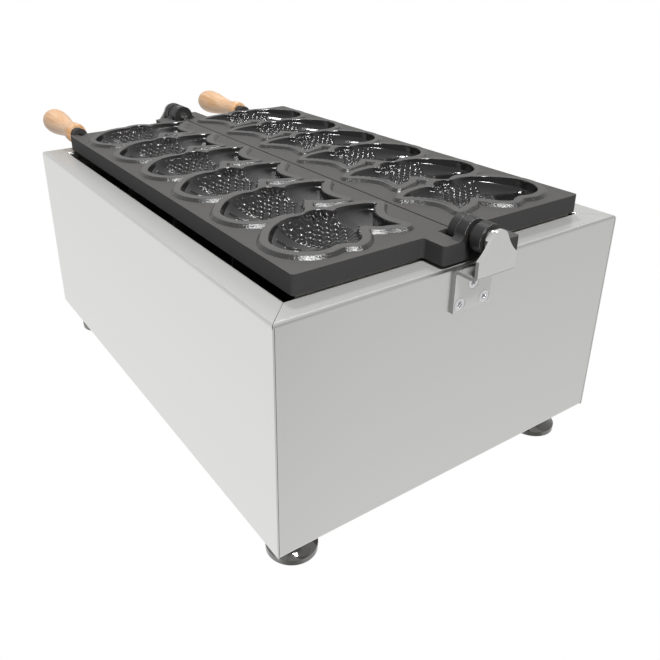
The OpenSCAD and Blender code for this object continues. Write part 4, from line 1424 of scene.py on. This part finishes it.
# the CAD nodes that stay in view as they are
NODE_STUFF: dict[Stuff, tuple[str, ...]] = {
    Stuff.SATIN_SHEET: ("side_panel_left", "side_panel_right", "front_panel", "rear_panel"),
    Stuff.INNER_SHEET: ("heat_pan", "plate_rest_front", "plate_rest_rear", "heater_clips",
                        "base_plate"),
    # the feet's chrome is darkened as painted shade
    Stuff.SHADED_FOOT_CHROME: ("foot_front_left", "foot_front_right", "foot_rear_left", "foot_rear_right"),
    Stuff.CHROME: ("lamp_bezels",),
    Stuff.ZINC: ("base_screws", "foot_nuts", "bracket_nuts", "thermostat_screws"),
    Stuff.BRIGHT_STEEL: ("hinge_pin_front", "hinge_pin_rear", "knob_shaft_left",
                         "knob_shaft_right"),
    Stuff.DARK_STEEL: ("handle_rod_left", "handle_rod_right", "hinge_spacers"),
    Stuff.HEATER: ("heater_left", "heater_right"),
    Stuff.CERAMIC: ("heater_insulators", "terminal_block"),
    Stuff.COPPER: ("sensor_left", "sensor_right"),
    Stuff.PHENOLIC: ("thermostat_left", "thermostat_right"),
    Stuff.BLACK_PLASTIC: ("knob_left", "knob_right", "cable_gland", "gland_nut"),
    Stuff.GREEN_LENS: ("lamps_power",),
    Stuff.RED_LENS: ("lamps_heat",),
}


def paint_nodes(paint: CookerPaint) -> None:
    """Gives every CAD node that stays in view its finish.

    Args:
        paint: The cooker's materials.
    """
    for stuff, nodes in NODE_STUFF.items():
        for node in nodes:
            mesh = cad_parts[node].data
            mesh.materials.clear()
            mesh.materials.append(paint.of(stuff))
        log.info("%s: %s", stuff.value.name, ", ".join(nodes))


@dataclass(frozen=True)
class Softbox:
    """A rectangular light: where it hangs, what it faces, its size and its power in watts."""

    name: str
    place: tuple[float, float, float]
    size: tuple[float, float]
    power: float


@dataclass
class Studio:
    """Plain white studio: an even bright tent, a dark room behind the camera and two softboxes.

    Reflections see a tent of brightness tent_level that changes along tent_tilt. Directions and
    places are in the part's frame, in metres, but camera_place is in the case's, in millimetres.
    """

    aim: tuple[float, float, float] = (0.0, 0.0, 0.2)
    lights: tuple[Softbox, ...] = (
        Softbox("key light", (0.78, 2.4, 3.3), (1.2, 0.68), 195.0),
        Softbox("overhead glint light", (-0.9, -1.6, 3.3), (0.42, 0.42), 46.0))
    tent_level: float = 0.785
    tent_tilt: tuple[float, float, float] = (0.080, -0.123, -0.30)
    room_side: tuple[float, float, float] = (0.545, 0.839, 0.0)
    room_edge: Point = (0.3, 0.75)
    room_dark: float = 0.6
    diffuse_share: float = 0.6
    floor_reach: float = 3.0
    floor_z: float = -0.0005
    camera_place: tuple[float, float, float] = (396.1, 618.4, 430.3)
    camera_angles: tuple[float, float, float] = (-33.017, -24.091, -0.614)  # azimuth, rise, roll
    lens: float = 38.59
    shift: Point = (0.058, -0.095)

    def build(self) -> None:
        """Makes the world, the floor, the lights and the camera."""
        self.world()
        self.floor()
        for light in self.lights:
            self.softbox(light)
        self.camera()
        log.info("studio: floor, camera and %d lights", len(self.lights))

    def world(self) -> None:
        """Lights the cooker. The camera sees white, and reflections and surfaces see the tent."""
        world = bpy.data.worlds.new("studio")
        bpy.context.scene.world = world
        world.use_nodes = True
        tree = world.node_tree
        tree.nodes.clear()
        look = add_node(tree, "ShaderNodeTexCoord")
        tilt = add_node(tree, "ShaderNodeVectorMath",
                        {"operation": "DOT_PRODUCT", 1: self.tent_tilt},
                        {0: look.outputs["Generated"]})
        tent = add_node(tree, "ShaderNodeMath", {"operation": "ADD", 1: self.tent_level},
                        {0: tilt.outputs["Value"]})
        behind = add_node(tree, "ShaderNodeVectorMath",
                          {"operation": "DOT_PRODUCT", 1: self.room_side},
                          {0: look.outputs["Generated"]})
        starts, full = self.room_edge
        room = add_node(tree, "ShaderNodeMapRange", {
            "interpolation_type": "SMOOTHSTEP", "From Min": starts, "From Max": full,
            "To Min": 1.0, "To Max": 1 - self.room_dark}, {"Value": behind.outputs["Value"]})
        level = add_node(tree, "ShaderNodeMath", {"operation": "MULTIPLY"},
                         {0: tent.outputs[0], 1: room.outputs["Result"]})
        path = add_node(tree, "ShaderNodeLightPath")
        dimmed = add_node(tree, "ShaderNodeMapRange",
                          {"To Min": 1.0, "To Max": self.diffuse_share},
                          {"Value": path.outputs["Is Diffuse Ray"]})
        strength = add_node(tree, "ShaderNodeMath", {"operation": "MULTIPLY"},
                            {0: level.outputs[0], 1: dimmed.outputs["Result"]})
        plain = {"Color": linear("#ffffff"), "Strength": 1.0}
        white = add_node(tree, "ShaderNodeBackground", plain)
        glow = add_node(tree, "ShaderNodeBackground", plain, {"Strength": strength.outputs[0]})
        mix = add_node(tree, "ShaderNodeMixShader", links={
            0: path.outputs["Is Camera Ray"], 1: glow.outputs[0], 2: white.outputs[0]})
        add_node(tree, "ShaderNodeOutputWorld", links={"Surface": mix.outputs[0]})

    def floor(self) -> None:
        """Lays a floor that reads white. The tent's lower half glows into the steel instead."""
        corners = ((-1, -1), (1, -1), (1, 1), (-1, 1))
        points = [(x * self.floor_reach, y * self.floor_reach, self.floor_z) for x, y in corners]
        material = blank_material("pale floor")
        tree = material.node_tree
        white = add_node(tree, "ShaderNodeEmission",
                         {"Color": linear("#ffffff"), "Strength": 1.0})
        add_node(tree, "ShaderNodeOutputMaterial", links={"Surface": white.outputs[0]})
        floor = new_piece("floor", np.array(points), [(0, 1, 2, 3)], [material])
        floor.visible_diffuse = floor.visible_glossy = floor.visible_transmission = False

    def softbox(self, light: Softbox) -> None:
        """Hangs one area light that faces the cooker.

        Args:
            light: The light.
        """
        data = bpy.data.lights.new(light.name, "AREA")
        data.shape = "RECTANGLE"
        data.size, data.size_y = light.size
        data.energy = light.power
        lamp = in_scene(light.name, data)
        lamp.location = light.place
        towards = Vector(self.aim) - Vector(light.place)
        lamp.rotation_euler = towards.to_track_quat("-Z", "Y").to_euler()

    def camera(self) -> None:
        """Sets the camera where the picture was taken from."""
        azimuth, rise, roll = (math.radians(a) for a in self.camera_angles)
        forward = Vector((math.cos(rise) * math.sin(azimuth), -math.cos(rise) * math.cos(azimuth),
                          math.sin(rise)))
        level = forward.cross(Vector((0, 0, 1))).normalized()
        up = level.cross(forward)
        right = level * math.cos(roll) + up * math.sin(roll)
        top = up * math.cos(roll) - level * math.sin(roll)
        data = bpy.data.cameras.new("camera")
        data.sensor_width, data.lens = 36.0, self.lens
        data.shift_x, data.shift_y = self.shift
        data.clip_start, data.clip_end = 0.01, 20.0
        camera = in_scene("camera", data)
        matrix = Matrix((right, top, -forward)).transposed().to_4x4()
        matrix.translation = Vector(placed(np.array(self.camera_place)))
        camera.matrix_world = matrix
        bpy.context.scene.camera = camera
        bpy.context.scene.view_settings.view_transform = "Standard"


def main() -> None:
    """Builds the cooker's looks."""
    paint = CookerPaint()
    paint_nodes(paint)
    left = Carving(scale_bumps=3.0, strokes=LEFT_STROKES)
    right = Carving(scale_arcs=0.9, tail_rays=0.7, side_fin=1.3, strokes=RIGHT_STROKES)
    MouldPlate(1, "left_plate", "left_mould", left, paint).build()
    MouldPlate(-1, "right_plate", "right_mould", right, paint).build()
    for end in ("front", "rear"):
        HingeBracket(end, paint).build()
    Grip(142.0, "left", "left_mould", paint).build()
    Grip(-90.0, "right", "right_mould", paint).build()
    BracketScrews(paint, Repeater()).build()
    Studio().build()


if __name__ == "__main__":
    main()
